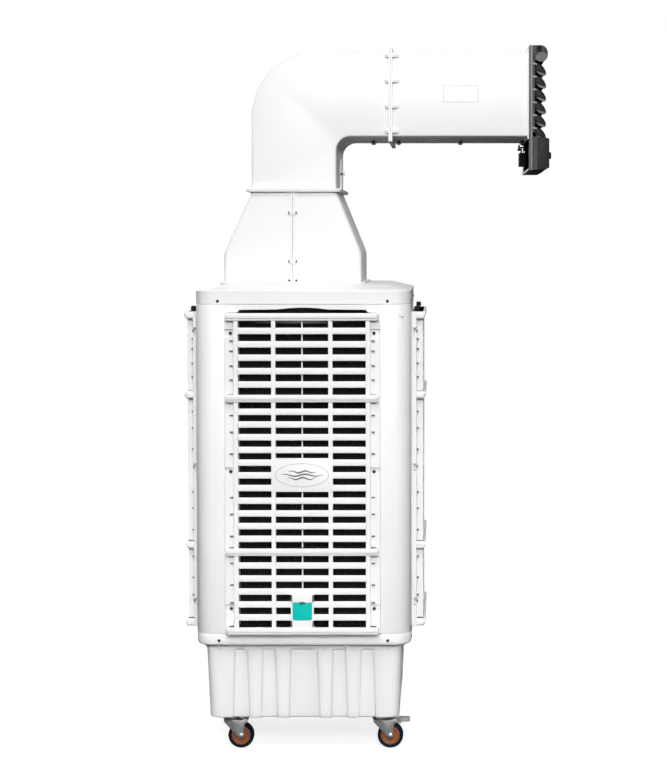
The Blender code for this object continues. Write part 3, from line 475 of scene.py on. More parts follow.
def tank(shape):
    heights = [TANK_LOW + TANK_HEEL * step / 3 for step in range(4)]
    heights += [TANK_LOW + TANK_HEEL + (FLUTE_TOP - 0.018 - TANK_LOW) * step / 10 for step in range(1, 10)]
    heights += [FLUTE_TOP - 0.016 + 0.016 * step / 16 for step in range(17)]
    heights.append(TANK_HIGH)
    rings = []
    for height in heights:
        half = TANK_FOOT + (TANK_RIM - TANK_FOOT) * (height - TANK_LOW) / (TANK_HIGH - TANK_LOW)
        foot = max(0.0, 1 - (height - TANK_LOW) / TANK_HEEL)
        half -= TANK_HEEL * (1 - math.sqrt(max(0.0, 1 - foot * foot)))
        rings.append(tank_ring(half, height, 1.0))
    for half, height in ((TANK_RIM, TANK_HIGH), (TANK_FOOT, TANK_FLOOR)):
        rings.append(tank_ring(half, height, 0.0, TANK_WALL))
    skin(shape, rings)


piece("tank_shell", tank, "cabinet", "white", ["tank"], angle=50)


# Base ring with a rolled lower edge and gussets under it
def base_ring(shape):
    profile = [(0.010, RING_LOW), (0.005, RING_LOW + 0.0012)]
    profile += [(0.0065 * (1 - math.sin(a)), RING_LOW + 0.0085 - 0.0065 * math.cos(a))
                for a in (math.radians(15 * step) for step in range(7))]
    profile += [(0.0, RING_TOP - 0.0012), (0.0004, RING_TOP - 0.0004), (0.0012, RING_TOP)]
    rings = [flat("z", rounded(BODY - inset, BODY - inset, CORNER - inset), height)
             for inset, height in profile]
    inner = BODY - 0.040
    rings += [flat("z", rounded(inner, inner, CORNER - 0.030), height)
              for height in (RING_TOP, RING_LOW)]
    skin(shape, rings, hollow=True)


GUSSET_PITCH = 0.061
GUSSETS = 9


def gussets(shape):
    """Small triangular webs between the tank's wall and the ring, on all four sides."""
    for quarter in range(4):
        turn = Matrix.Rotation(math.radians(90 * quarter), 4, "Z")
        for step in range(GUSSETS):
            x = (step - (GUSSETS - 1) / 2) * GUSSET_PITCH
            over_flute = any(abs(x - flute[0]) < flute[1] for flute in FLUTES)
            foot = RING_LOW - (0.010 if over_flute else 0.019)
            outline = [(-TANK_RIM + 0.001, RING_LOW + 0.001), (-BODY + 0.010, RING_LOW + 0.001)]
            outline += [(-BODY + 0.010, RING_LOW - 0.0015), (-TANK_RIM + 0.001, foot)]
            verts = prism(shape, "x", outline, x - 0.0014, x + 0.0014)
            bmesh.ops.transform(shape, matrix=turn, verts=verts)


def ring_shadow_strip(shape):
    """A near-black strip between the ring's rolled edge and the tank's wall: painted shadow of the ring's
    overhang.
    """
    low, high = RING_LOW - 0.0042, RING_LOW + 0.003
    square_ring(shape, (TANK_RIM + 0.0035, 0.0335), (TANK_RIM - 0.004, 0.026), low, high)


# Painted shadow under the base ring.
piece("ring_shadow_strip", ring_shadow_strip, "cabinet", "charcoal", edge=0.0006)
piece("base_ring_rolled", base_ring, "cabinet", "white", ["base_ring"])
piece("base_ring_gussets", gussets, "cabinet", "white", edge=0.0004)


# Screws: a domed head with its cross recess painted on as dark bars of shade, made at the origin facing -Y
def screw_head(shape, radius, spot=(0, 0, 0), turn=0.0, tilt=0.0):
    """A pan head. turn sets it on a side of the cabinet, in degrees."""
    rings = []
    for step in range(5):
        a = math.radians(90 * step / 4)
        rings.append((radius * math.cos(a) if step < 4 else radius * 0.12, radius * 0.42 * math.sin(a)))
    verts = turned(shape, "y", (0, 0), [(radius, 0.001)] + [(r, -h) for r, h in rings], 20)
    matrix = Matrix.Rotation(math.radians(turn), 4, "Z") @ Matrix.Translation(spot)
    bmesh.ops.transform(shape, matrix=matrix @ Matrix.Rotation(tilt, 4, "X"), verts=verts)


def recess(shape, radius, spot=(0, 0, 0), turn=0.0):
    """The cross in a screw's head, as two thin dark bars sunk in its crown: painted shade standing for the
    recess's depth.
    """
    for spin in (20, 110):
        low = (-radius * 0.55, -radius * 0.43, -radius * 0.10)
        verts = block(shape, low, (radius * 0.55, -radius * 0.30, radius * 0.10))
        bmesh.ops.transform(shape, matrix=Matrix.Rotation(math.radians(spin), 4, "Y"), verts=verts)
        matrix = Matrix.Rotation(math.radians(turn), 4, "Z") @ Matrix.Translation(spot)
        bmesh.ops.transform(shape, matrix=matrix, verts=verts)


SCREW = 0.0047
SCREW_X = 0.242
BODY_SCREWS = [(side * SCREW_X, -BODY + 0.0004, height) for side in (-1, 1) for height in (0.334, 1.308)]
PANEL_SCREWS = [(side * 0.204, -BODY - 0.016, height) for side in (-1, 1)
                for height in (0.430, 0.823, 1.218)]


def cabinet_screws(shape, make):
    for quarter in (0, 90, 180, 270):
        for spot in BODY_SCREWS + (PANEL_SCREWS if quarter != 180 else []):
            make(shape, SCREW, spot, quarter)


piece("cabinet_screws", shape_from(cabinet_screws, screw_head), "cabinet", "screw")
# Painted shade: the screws' cross recesses.
piece("cabinet_screw_cross_shade", shape_from(cabinet_screws, recess), "cabinet", "inner_black")


# Corner columns
def column(shape):
    wall = 0.014
    hub = (BODY - CORNER, BODY - CORNER)

    def outline_of(inset):
        outer = [(BAY + inset, BODY - inset)] + arc(hub, CORNER - inset, 90, 0, 12)
        outer += [(BODY - inset, BAY + inset), (BODY - wall + inset, BAY + inset)]
        inner = arc(hub, CORNER - wall + inset, 0, 90, 12) + [(BAY + inset, BODY - wall + inset)]
        return outer + inner

    soft_plate(shape, "z", outline_of, COLUMN_LOW, COLUMN_TOP, 0.0012, 2)


for spot, quarter in (("rear_right", 0), ("rear_left", 90), ("front_left", 180), ("front_right", 270)):
    name = f"column_{spot}"
    piece(f"{name}_post", column, "cabinet", "white_clean", [name], turn=quarter, edge=0.0009)


def ring_plug(shape):
    """A small pressed plug near the top of the front right column."""
    turned(shape, "y", (0.2945 - 0.012, 1.270), [(0.0055, -BODY + 0.003), (0.0055, -BODY - 0.0008),
           (0.0045, -BODY - 0.0012), (0.0042, -BODY - 0.0002)], 24)


piece("column_plug", ring_plug, "cabinet", "white")


# Header and top cover
def header(shape):
    """The tray's ring inside the columns and a lip in each bay, with its arched air gap."""
    reach = BODY - 0.0144
    square_ring(shape, (reach, 0.037), (reach - 0.05, 0.02), HEADER_LOW + 0.012, HEADER_TOP)
    reach = BAY - 0.0002
    for quarter in (0, 90, 180, 270):
        outline = [(-reach, HEADER_TOP), (-reach, HEADER_LOW)]
        if quarter != 180:
            notch = [(-0.186, HEADER_LOW), (-0.180, HEADER_LOW + 0.0075), (-0.075, HEADER_LOW + 0.0085)]
            shares = [step / 12 for step in range(1, 12)]
            crown = [(-0.072 + 0.144 * share, HEADER_LOW + 0.0085 + 0.0055 * math.sin(math.pi * share))
                     for share in shares]
            outline += notch + crown + [(-x, z) for x, z in reversed(notch)]
        outline += [(reach, HEADER_LOW), (reach, HEADER_TOP)]
        verts = prism(shape, "y", outline, 0.0025 - BODY, 0.0055 - BODY)
        bmesh.ops.transform(shape, matrix=Matrix.Rotation(math.radians(quarter), 4, "Z"), verts=verts)


piece("upper_frame_lips", header, "cabinet", "white", ["upper_frame"])

PLATEAU_X, PLATEAU_Y = 0.243, 0.214
SKIRT_TOP = 1.339


def top_cover(shape):
    """The skirt, its rolled crease, the slope and the raised plateau, with the fan's throat."""
    levels = [(BODY - 0.0015, BODY - 0.0015, COVER_LOW), (BODY, BODY, COVER_LOW + 0.0015)]
    levels += [(BODY - 0.0002, BODY - 0.0002, SKIRT_TOP - 0.003)]
    levels += [(BODY - 0.004 * (1 - math.cos(a)), BODY - 0.004 * (1 - math.cos(a)),
                SKIRT_TOP - 0.003 + 0.004 * math.sin(a)) for a in (math.radians(15 * k) for k in range(1, 6))]
    slope = SKIRT_TOP + 0.0012
    for share in (0.5, 0.9, 0.97, 1.0):
        half_x = BODY - 0.005 + (PLATEAU_X - BODY + 0.005) * share
        half_y = BODY - 0.005 + (PLATEAU_Y - BODY + 0.005) * share
        levels.append((half_x, half_y, slope + (COVER_TOP - slope) * min(1.0, share * 1.02)))
    rings = []
    for half_x, half_y, height in levels:
        corner = CORNER - 0.3 * (BODY - half_x)
        rings.append(flat("z", rounded(half_x, half_y, corner), height))
    throat = 0.178
    spread = [Vector(point) for point in rings[-1]]
    hub = Vector((local_box("fan_shroud")[0].x + local_box("fan_shroud")[1].x, 0, 0)) / 2

    def hole(radius, height):
        ring = []
        for point in spread:
            away = (point - hub).to_2d().normalized() * radius
            ring.append((hub.x + away.x, away.y, height))
        return ring

    rings += [hole(throat + 0.004, COVER_TOP), hole(throat, COVER_TOP - 0.003)]
    rings.append(hole(throat, COVER_TOP - SHEET))
    under = [tuple(size - SHEET for size in level) for level in reversed(levels[2:])]
    under += [(BODY - SHEET, BODY - SHEET, COVER_LOW)]
    for half_x, half_y, height in under:
        rings.append(flat("z", rounded(half_x, half_y, CORNER - 0.008), height))
    skin(shape, rings, hollow=True)


piece("top_cover_shell", top_cover, "cabinet", "white_clean", ["top_cover"], angle=28)


# Louvred panels
LOUVRED_SIDES = (("front", 0), ("left", 270), ("right", 90))
FIELD = 0.181
RIB_AT = 0.081
BAR = 0.0218
BAR_LOWS = (0.358, 0.584, 1.022, 1.2535)
SLAT_COUNTS = (5, 11, 5)
SLAT = 0.0186
FACE = PANEL_FRONT + 0.007
FLANGE_SPANS = ((PANEL_LOW, 0.4195), (0.4405, 0.8125), (0.8335, 1.2075), (1.2285, PANEL_TOP))


def slat_lows():
    """The lower edge of every slat, evenly spaced between the bars."""
    lows = []
    for low_bar, high_bar, count in zip(BAR_LOWS, BAR_LOWS[1:], SLAT_COUNTS):
        space = high_bar - low_bar - BAR
        gap = (space - count * SLAT) / (count + 1)
        lows += [low_bar + BAR + gap + step * (gap + SLAT) for step in range(count)]
    return lows


def slats(shape):
    """Blades with a rounded nose, whose top falls away inwards."""
    for low in slat_lows():
        high = low + SLAT
        outline = [(FACE + 0.010, low + 0.0035), (FACE + 0.002, low)]
        outline += arc((FACE + 0.0022, low + 0.0022), 0.0022, -90, -180, 3)[1:]
        outline += arc((FACE + 0.0022, high - 0.0022), 0.0022, 180, 90, 3)
        outline += [(FACE + 0.010, high - 0.0045)]
        prism(shape, "x", outline, -FIELD - 0.002, FIELD + 0.002)


def panel_frame(shape):
    """The flange against the columns, the raised rails and the ribs over the slats."""
    back = -BODY + 0.012
    for side in (-1, 1):
        for low, high in FLANGE_SPANS:
            xs = sorted((side * (FIELD + 0.011), side * BAY))
            block(shape, (xs[0], -BODY - 0.015, low), (xs[1], back, high))
        xs = sorted((side * (FIELD + 0.010), side * (BAY - 0.0005)))
        block(shape, (xs[0], -BODY - 0.0065, PANEL_LOW + 0.002), (xs[1], back + 0.001, PANEL_TOP - 0.002))
        xs = sorted((side * FIELD, side * (FIELD + 0.013)))
        block(shape, (xs[0], FACE, PANEL_LOW + 0.004), (xs[1], back, PANEL_TOP - 0.004))
        xs = sorted((side * (RIB_AT - 0.006), side * (RIB_AT + 0.006)))
        block(shape, (xs[0], FACE - 0.0012, PANEL_LOW + 0.004), (xs[1], FACE + 0.020, PANEL_TOP - 0.004))
    block(shape, (-0.002, FACE + 0.010, PANEL_LOW + 0.01), (0.002, FACE + 0.016, PANEL_TOP - 0.01))


def panel_bars(shape):
    """Four proud cross bars with rounded ends: a raised rail along a lower, slightly longer base."""
    for low in BAR_LOWS:
        high = min(low + BAR, PANEL_TOP)
        for lift, half, front, edge in ((0.0, 0.2172, 0.0035, 0.0030), (0.0068, 0.2158, 0.0, 0.0026)):
            centre = (0, (low + lift + high) / 2)
            size = (half, (high - low - lift) / 2)
            rounded_plate(shape, "y", size, 0.0068, PANEL_FRONT + front, -BODY - 0.002, edge, 3, 6, centre, 1)


def clips_with_painted_shade(shape):
    """Short raised clips beside the louvres, coloured dark slate as painted shade for the shadows they cast.
    """
    heights = (1.196, 1.167, 1.125, 1.085, 0.984, 0.936, 0.874, 0.749, 0.701, 0.638, 0.560, 0.498, 0.447)
    for height in heights:
        for xs in both_sides(0.197, 0.2065):
            block(shape, (xs[0], -BODY - 0.0212, height - 0.0016), (xs[1], -BODY - 0.0140, height + 0.0016))


def knobs(shape):
    """Knurled thumb nuts on top of a side panel, near its ends."""
    for x in (-0.190, 0.190):
        centre = (x, -BODY - 0.0165)
        profile = [(0.0035, PANEL_TOP - 0.004), (0.0035, PANEL_TOP + 0.001), (0.0062, PANEL_TOP + 0.0015)]
        profile += [(0.0068, PANEL_TOP + 0.004), (0.0068, PANEL_TOP + 0.013), (0.0056, PANEL_TOP + 0.0155)]
        profile += [(0.0030, PANEL_TOP + 0.016)]
        turned(shape, "z", centre, profile, 24)
        knurl(shape, "z", centre, 0.0068, 12, 0.0009, PANEL_TOP + 0.0035, PANEL_TOP + 0.0135)


for side_name, quarter in LOUVRED_SIDES:
    node = f"panel_{side_name}"
    piece(f"{node}_frame", panel_frame, "cabinet", "white", [node], turn=quarter, edge=0.0011)
    piece(f"{node}_slats", slats, "cabinet", "white", turn=quarter, angle=50)
    piece(f"{node}_bars", panel_bars, "cabinet", "white_clean", turn=quarter, angle=30)
    # The clips' dark slate colour is painted shade.
    piece(f"{node}_clips", clips_with_painted_shade, "cabinet", "slate", turn=quarter)
    if quarter:
        piece(f"{node}_knobs", knobs, "cabinet", "charcoal", turn=quarter)


def pad(shape):
    """A corrugated pad: upright waves on its outer face."""
    low, high = local_box("pad_front")
    waves = 84
    steps = waves * 4
    outline = []
    for step in range(steps + 1):
        x = low.x + (high.x - low.x) * step / steps
        outline.append((x, low.y + 0.0016 * (1 + math.sin(2 * math.pi * waves * step / steps))))
    outline += [(high.x, high.y), (low.x, high.y)]
    prism(shape, "z", outline, low.z, high.z)


for side_name, quarter in LOUVRED_SIDES:
    node = f"pad_{side_name}"
    piece(f"{node}_corrugated", pad, "cabinet", "pad_paper", [node], turn=quarter)


# Badge: a plate with an oval rim and three plain waves
BADGE_Z = 0.815


def badge_plate(shape):
    size = (0.0874, 0.0478)
    rounded_plate(shape, "y", size, 0.004, FACE - 0.0024, FACE + 0.010, 0.0010, 2, 8, (0, BADGE_Z))


def oval(half_x, half_z, steps=64):
    turns = [2 * math.pi * step / steps for step in range(steps)]
    return [(half_x * math.cos(a), BADGE_Z + half_z * math.sin(a)) for a in turns]


def badge_rim(shape):
    rows = ((0.0762, 0.0337, 0.0), (0.0760, 0.0335, 0.0006),
            (0.0752, 0.0327, 0.0006), (0.0750, 0.0325, 0.0))
    rings = [flat("y", oval(half_x, half_z), FACE - 0.0023 - rise)
             for half_x, half_z, rise in rows]
    skin(shape, rings, hollow=True)


def badge_waves(shape):
    """Three rows of drifting air, thicker in the middle than at their ends."""
    steps = 40
    for row, (rise, reach) in enumerate(((0.0095, 0.040), (0.0, 0.060), (-0.0095, 0.040))):
        upper, lower = [], []
        for step in range(steps + 1):
            share = step / steps
            x = -reach + 2 * reach * share
            wave = BADGE_Z + rise + 0.0028 * math.sin(4 * math.pi * share + 0.6 * row)
            thick = 0.0004 + 0.0019 * math.sin(math.pi * share)
            upper.append((x, wave + thick))
            lower.append((x, wave - thick))
        prism(shape, "y", upper + lower[::-1], FACE - 0.0031, FACE - 0.0020)


piece("badge_plate", badge_plate, "cabinet", "white_clean", angle=30)
piece("badge_rim", badge_rim, "cabinet", "grey")
piece("badge_waves", badge_waves, "cabinet", "mark", angle=30)


# Tablet box and its flap
FLAP_LOW, FLAP_HIGH = (corner.z for corner in local_box("tablet_flap"))
FLAP_HALF = local_box("tablet_flap")[1].x
FLAP_BACK = -0.3448


def tablet_box(shape):
    """A housing around the flap: four walls and a small lower ledge."""
    front, back = PANEL_FRONT + 0.0012, FACE + 0.012
    low, high, half = 0.3785, 0.4745, 0.0325
    block(shape, (-half, front, low), (half, back, FLAP_LOW - 0.0012))
    block(shape, (-half, front, FLAP_HIGH + 0.0006), (half, back, high))
    for xs in both_sides(FLAP_HALF + 0.0005, half):
        block(shape, (xs[0], front, low + 0.001), (xs[1], back, high - 0.001))
    block(shape, (-half - 0.002, FACE - 0.0005, low - 0.002), (half + 0.002, back, low + 0.004))


# Painted shade: a near-black sheet at the back of the box, behind the flap.
def tablet_inside_shade(shape):
    block(shape, (-0.0265, FLAP_BACK + 0.016, 0.398), (0.0265, FLAP_BACK + 0.018, 0.454))


def flap(shape):
    """The flap: a soft-cornered plate."""
    size = (FLAP_HALF, (FLAP_HIGH - FLAP_LOW) / 2)
    centre = (0, (FLAP_LOW + FLAP_HIGH) / 2)
    rounded_plate(shape, "y", size, 0.003, FLAP_BACK - 0.0027, FLAP_BACK, 0.0007, 3, 5, centre)


def flap_tab(shape):
    centre = (0, FLAP_HIGH - 0.0078)
    rounded_plate(shape, "y", (0.009, 0.0042), 0.002, FLAP_BACK - 0.0046, FLAP_BACK - 0.002, 0.0008, 3, 5,
                  centre)


def flap_groove_shade(shape):
    """Painted shade of the groove round the finger tab's top: near-black bars in a shallow U on the flap."""
    front, back = FLAP_BACK - 0.0050, FLAP_BACK - 0.0022
    low, high = FLAP_HIGH - 0.0044, FLAP_HIGH - 0.0005
    block(shape, (-0.0080, front, low), (0.0080, back, low + 0.0017))
    for xs in both_sides(0.0066, 0.0082):
        block(shape, (xs[0], front, low), (xs[1], back, high))


# Painted shade: a near-black block for the dark slot above the flap.
def flap_slot_shade(shape):
    block(shape, (-0.0065, PANEL_FRONT + 0.0009, FLAP_HIGH - 0.0005),
          (0.0065, PANEL_FRONT + 0.004, FLAP_HIGH + 0.0022))


piece("tablet_box", tablet_box, "cabinet", "white", edge=0.0010)
piece("tablet_box_back_shade", tablet_inside_shade, "cabinet", "inner_black")
piece("tablet_flap_plate", flap, "flap", "teal", ["tablet_flap"])
piece("tablet_flap_tab", flap_tab, "flap", "teal")
piece("tablet_flap_groove_shade", flap_groove_shade, "flap", "inner_black", edge=0.0002)
piece("tablet_box_slot_shade", flap_slot_shade, "cabinet", "inner_black")


# Hood: two U-shaped halves with clamp lips, a foot flange and a rim flange
HOOD_LOW = HOOD_LEFT[0].z
HOOD_TOP = HOOD_LEFT[1].z
HOOD_BEND = 1.446
HOOD_HALF = HOOD_LEFT[1].y - 0.015
AIR_X = (HOOD_LEFT[1].x + HOOD_RIGHT[0].x) / 2
BASE_HALF = 0.1995
THROAT = (-0.154, 0.091)
HOOD_CORNER = 0.010
LIP = 0.0065
FLANGE = 0.015
CLAMP_HEIGHTS = (1.421, 1.562)


def u_outline(seam, edge, half, corner, wall, side):
    """A channel's outline: outer path from the seam's front to its rear, then the inner path."""
    hub = edge - side * corner
    inner = edge - side * wall
    in_corner = max(0.001, corner - wall)
    in_hub = inner - side * in_corner
    ends = (270, 360) if side > 0 else (270, 180)
    rear = (0, 90) if side > 0 else (180, 90)
    outer = [(seam, -half)] + arc((hub, -half + corner), corner, *ends, 6)
    outer += arc((hub, half - corner), corner, *rear, 6) + [(seam, half)]
    reach = half - wall
    back = [(seam, reach)] + arc((in_hub, reach - in_corner), in_corner, rear[1], rear[0], 6)
    back += arc((in_hub, -reach + in_corner), in_corner, ends[1], ends[0], 6) + [(seam, -reach)]
    return outer + back


def hood(shape, side):
    seam = AIR_X + side * GAP
    base = AIR_X + side * BASE_HALF
    throat = THROAT[0] if side < 0 else THROAT[1]
    slope = (throat - base) / (HOOD_TOP - SHEET - HOOD_BEND)
    levels = [(base, HOOD_LOW)]
    for step in range(-3, 4):
        rise = 0.004 * step
        levels.append((base + slope * max(0.0, (rise + 0.012) ** 2 / 0.048), HOOD_BEND + rise))
    levels.append((throat, HOOD_TOP - 0.001))
    rings = [flat("z", u_outline(seam, edge, HOOD_HALF, HOOD_CORNER, SHEET, side), z)
             for edge, z in levels]
    skin(shape, rings)


def hood_flanges(shape, side):
    """The foot on the cover, the rim under the elbow and the seam lips."""
    seam = AIR_X + side * GAP
    throat = THROAT[0] if side < 0 else THROAT[1]
    for edge, reach, low, high in (
        (AIR_X + side * (BASE_HALF + 0.0125), HOOD_HALF + 0.0135, HOOD_LOW, HOOD_LOW + 0.0035),
        (throat + side * FLANGE, HOOD_HALF + FLANGE, HOOD_TOP - 0.0042, HOOD_TOP),
    ):
        wall = 0.0155 if low > HOOD_BEND else 0.0145
        rings = [flat("z", u_outline(seam, edge, reach, 0.014, wall, side), z)
                 for z in (low, high)]
        skin(shape, rings)
    for ys in both_sides(HOOD_HALF - 0.001, HOOD_HALF + 0.0075):
        xs = sorted((seam, seam + side * LIP))
        block(shape, (xs[0], ys[0], HOOD_LOW + 0.003), (xs[1], ys[1], HOOD_TOP - 0.003))


def clamp_ears(shape, side):
    """Rounded ears on the seam, one pair for each clamp bolt."""
    seam = AIR_X + side * GAP
    for height in CLAMP_HEIGHTS:
        for ys in both_sides(HOOD_HALF - 0.001, HOOD_HALF + 0.009):
            def outline_of(inset, height=height):
                half = arc((0, height), 0.0095 - inset, -90, 90, 10)
                return [(seam + side * (u * 0.95), z) for u, z in half]
            soft_plate(shape, "y", outline_of, *ys, 0.0010, 2)


for name, side in (("left", -1), ("right", 1)):
    piece(f"hood_{name}_shell", shape_from(hood, side), "cabinet", "white_clean", [f"hood_{name}"],
          angle=40)
    piece(f"hood_{name}_flanges", shape_from(hood_flanges, side), "cabinet", "white_clean", edge=0.0009)
    piece(f"hood_{name}_ears", shape_from(clamp_ears, side), "cabinet", "white", angle=30)


# Elbow and straight duct: trays split at mid depth, with lips, collars, lugs and ears
DEPTH = DUCT[0].y + 0.015
DUCT_LOW, DUCT_TOP = DUCT[0].z + FLANGE, DUCT[1].z - FLANGE
JOINT_X = ELBOW[1].x
DUCT_START, DUCT_END = DUCT[0].x, DUCT[1].x
ELBOW_LOW = ELBOW[0].z
OUTER, INNER = 0.187, 0.042
EDGE = 0.0055


def elbow_outline(inset, past=0.0):
    low, end = ELBOW_LOW - past, JOINT_X + past
    bend = (THROAT[0] + OUTER, DUCT_TOP - OUTER)
    crook = (THROAT[1] + INNER, DUCT_LOW - INNER)
    top = [(THROAT[0] + inset, low)] + arc(bend, OUTER - inset, 180, 90, 28) + [(end, DUCT_TOP - inset)]
    under = [(end, DUCT_LOW + inset)] + arc(crook, INNER + inset, 90, 180, 14)
    return top + under + [(THROAT[1] - inset, low)]


def duct_outline(inset, past=0.0):
    low, high = DUCT_START - past, DUCT_END + past
    under, over = DUCT_LOW + inset, DUCT_TOP - inset
    return [(low, under), (high, under), (high, over), (low, over)]


def tray(outline, side):
    """Half of a duct: a solid with one rounded rim, then hollowed right through its ends."""
    depth = -DEPTH
    shape = bmesh.new()
    rings = [flat("y", outline(0.0), side * GAP)]
    for step in range(5):
        a = math.radians(90 * step / 4)
        inset = EDGE * (1 - math.cos(a))
        along = depth - EDGE + EDGE * math.sin(a)
        rings.append(flat("y", outline(inset), side * along))
    skin(shape, rings)
    bore = bmesh.new()
    rings = [flat("y", outline(SHEET, 0.03), side * -0.03)]
    for step in range(4):
        a = math.radians(90 * step / 3)
        inset = SHEET + 0.003 * (1 - math.cos(a))
        along = depth - SHEET - 0.003 + 0.003 * math.sin(a)
        rings.append(flat("y", outline(inset, 0.03), side * along))
    skin(bore, rings)
    return cut(mesh_of(shape), [bore])


def lips(shape, outline, side):
    """A clamp lip along the split, outside both walls."""
    outer, inner = outline(-0.0075), outline(0.002)
    near, far = side * GAP, side * 0.0052
    rings = []
    for ring, depth in ((outer, near), (outer, far), (inner, far), (inner, near)):
        rings.append(flat("y", ring, depth))
    for first in range(len(outer) - 1):
        if abs(outer[first][0] - outer[first + 1][0]) < 1e-6 and outer[first][0] > DUCT_START - 0.02:
            continue
        quad = [[ring[first], ring[first + 1]] for ring in rings]
        skin(shape, [[row[0] for row in quad], [row[1] for row in quad]])


def collar(shape, axis, centre, half, low, high, side):
    """Half a square collar round the duct: half gives its outer reach, in its two directions."""
    wall = 0.0165
    outer = [(centre + sign * half[0], reach) for sign, reach in ((-1, 0.0), (-1, 1.0), (1, 1.0), (1, 0.0))]
    rings = []
    for along in (low, high):
        ring = []
        for u, reach in outer:
            ring.append((u, side * (GAP + reach * (half[1] - GAP))))
        for u, reach in reversed(outer):
            inner = centre + (u - centre) * (1 - wall / half[0])
            ring.append((inner, side * (GAP + reach * (half[1] - wall - GAP))))
        if axis == "z":
            rings.append([(u, y, along) for u, y in ring])
        else:
            rings.append([(along, y, u) for u, y in ring])
    skin(shape, rings)


def elbow_trim(shape, side):
    lips(shape, elbow_outline, side)
    mid_x = (THROAT[0] + THROAT[1]) / 2
    mid_z = (DUCT_LOW + DUCT_TOP) / 2
    half_x = (THROAT[1] - THROAT[0]) / 2 + FLANGE
    half_z = (DUCT_TOP - DUCT_LOW) / 2 + FLANGE
    collar(shape, "z", mid_x, (half_x, -DEPTH + FLANGE), ELBOW_LOW, ELBOW_LOW + 0.0042, side)
    collar(shape, "x", mid_z, (half_z, -DEPTH + FLANGE), JOINT_X - 0.0055, JOINT_X, side)


def duct_trim(shape, side):
    lips(shape, duct_outline, side)
    mid_z = (DUCT_LOW + DUCT_TOP) / 2
    half_z = (DUCT_TOP - DUCT_LOW) / 2 + FLANGE
    collar(shape, "x", mid_z, (half_z, -DEPTH + FLANGE), DUCT_START, DUCT_START + 0.0055, side)
    half_z -= 0.0075
    collar(shape, "x", mid_z, (half_z, -DEPTH + FLANGE - 0.0075), DUCT_END - 0.004, DUCT_END, side)


LUG_XS = (-0.143, -0.069, 0.004, 0.077)
LUG_ZS = (1.796, 1.868, 1.941, 2.014)


def lugs(shape, side):
    """Half-round lugs on the rim flange and tapered webs on both sides of the duct's joint."""
    for x in LUG_XS:
        ys = sorted((side * (-DEPTH - 0.001), side * (-DEPTH + FLANGE - 0.002)))
        prism(shape, "y", arc((x, ELBOW_LOW + 0.003), 0.0065, 0, 180, 10), *ys)
    for z in LUG_ZS:
        ys = sorted((side * (-DEPTH - 0.001), side * (-DEPTH + FLANGE - 0.003)))
        for start, reach in ((JOINT_X - 0.004, -0.013), (DUCT_START + 0.004, 0.022)):
            outline = [(start, side * (-DEPTH - 0.001)), (start, side * (-DEPTH + FLANGE - 0.003)),
                       (start + 0.35 * reach, side * (-DEPTH + FLANGE - 0.004)),
                       (start + reach, side * (-DEPTH + 0.001)), (start + reach, side * (-DEPTH - 0.001))]
            prism(shape, "z", outline, z - 0.0042, z + 0.0042)


def label_border(shape):
    """The outline of a blank label recess on the duct's front."""
    centre = (0.452, 1.905)
    rows = ((0.0505, 0.0245, 0.0), (0.0504, 0.0244, 0.0005), (0.0498, 0.0238, 0.0005), (0.0497, 0.0237, 0.0))
    rings = [flat("y", rounded(half_x, half_z, 0.003, 5, centre), DEPTH + 0.0001 - rise)
             for half_x, half_z, rise in rows]
    skin(shape, rings, hollow=True)


for name, side in (("front", -1), ("rear", 1)):
    piece(f"elbow_{name}_shell", tray(elbow_outline, side), "cabinet", "white_clean", [f"elbow_{name}"],
          angle=32)
    piece(f"duct_{name}_shell", tray(duct_outline, side), "cabinet", "white_clean", [f"duct_{name}"],
          angle=32)
    piece(f"elbow_{name}_trim", shape_from(elbow_trim, side), "cabinet", "white_clean", edge=0.0006)
    piece(f"duct_{name}_trim", shape_from(duct_trim, side), "cabinet", "white_clean", edge=0.0006)
    piece(f"duct_{name}_lugs", shape_from(lugs, side), "cabinet", "white_clean", edge=0.0007)
piece("duct_label_border", label_border, "cabinet", "grey")


# Round ears with a bolt on the split of the elbow and duct
EAR_OUT = 0.006
EARS = [(THROAT[1] + EAR_OUT, 1.680)]
EARS += [(x, DUCT_LOW - EAR_OUT) for x in (0.193, 0.268, 0.453, 0.638)]
EARS += [(x, DUCT_TOP + EAR_OUT) for x in (0.150, 0.268, 0.453, 0.630)]
EARS += [(THROAT[0] - EAR_OUT, z) for z in (1.680, 1.810)]


def ears(shape):
    for spot in EARS:
        profile = [(0.0085, -0.0062), (0.0092, -0.0056), (0.0092, 0.0056), (0.0085, 0.0062)]
        turned(shape, "y", spot, profile, 20)


def ear_bolts(shape):
    for spot in EARS:
        for side in (-1, 1):
            profile = [(0.0045, side * 0.006), (0.0045, side * 0.0088), (0.0036, side * 0.0096)]
            turned(shape, "y", spot, profile, 6)


piece("duct_ears", ears, "cabinet", "white_clean")
piece("duct_ear_bolts", ear_bolts, "cabinet", "screw", edge=0.0004)


def hood_bolts(shape):
    """Clamp bolts through the hood's ears, and the foot's screws beside the seam."""
    for height in CLAMP_HEIGHTS:
        for end in (-1, 1):
            y = end * (HOOD_HALF + 0.005)
            profile = [(0.0034, AIR_X - 0.0125), (0.0034, AIR_X + 0.0125)]
            turned(shape, "x", (y, height), profile, 6)
    for quarter, side in ((0, 1), (180, -1)):
        for x in (-0.0105, 0.0105):
            screw_head(shape, 0.0033, (side * AIR_X + x, -HOOD_HALF - 0.0005, HOOD_LOW + 0.0085), quarter)


piece("hood_bolts", hood_bolts, "cabinet", "screw", edge=0.0003)


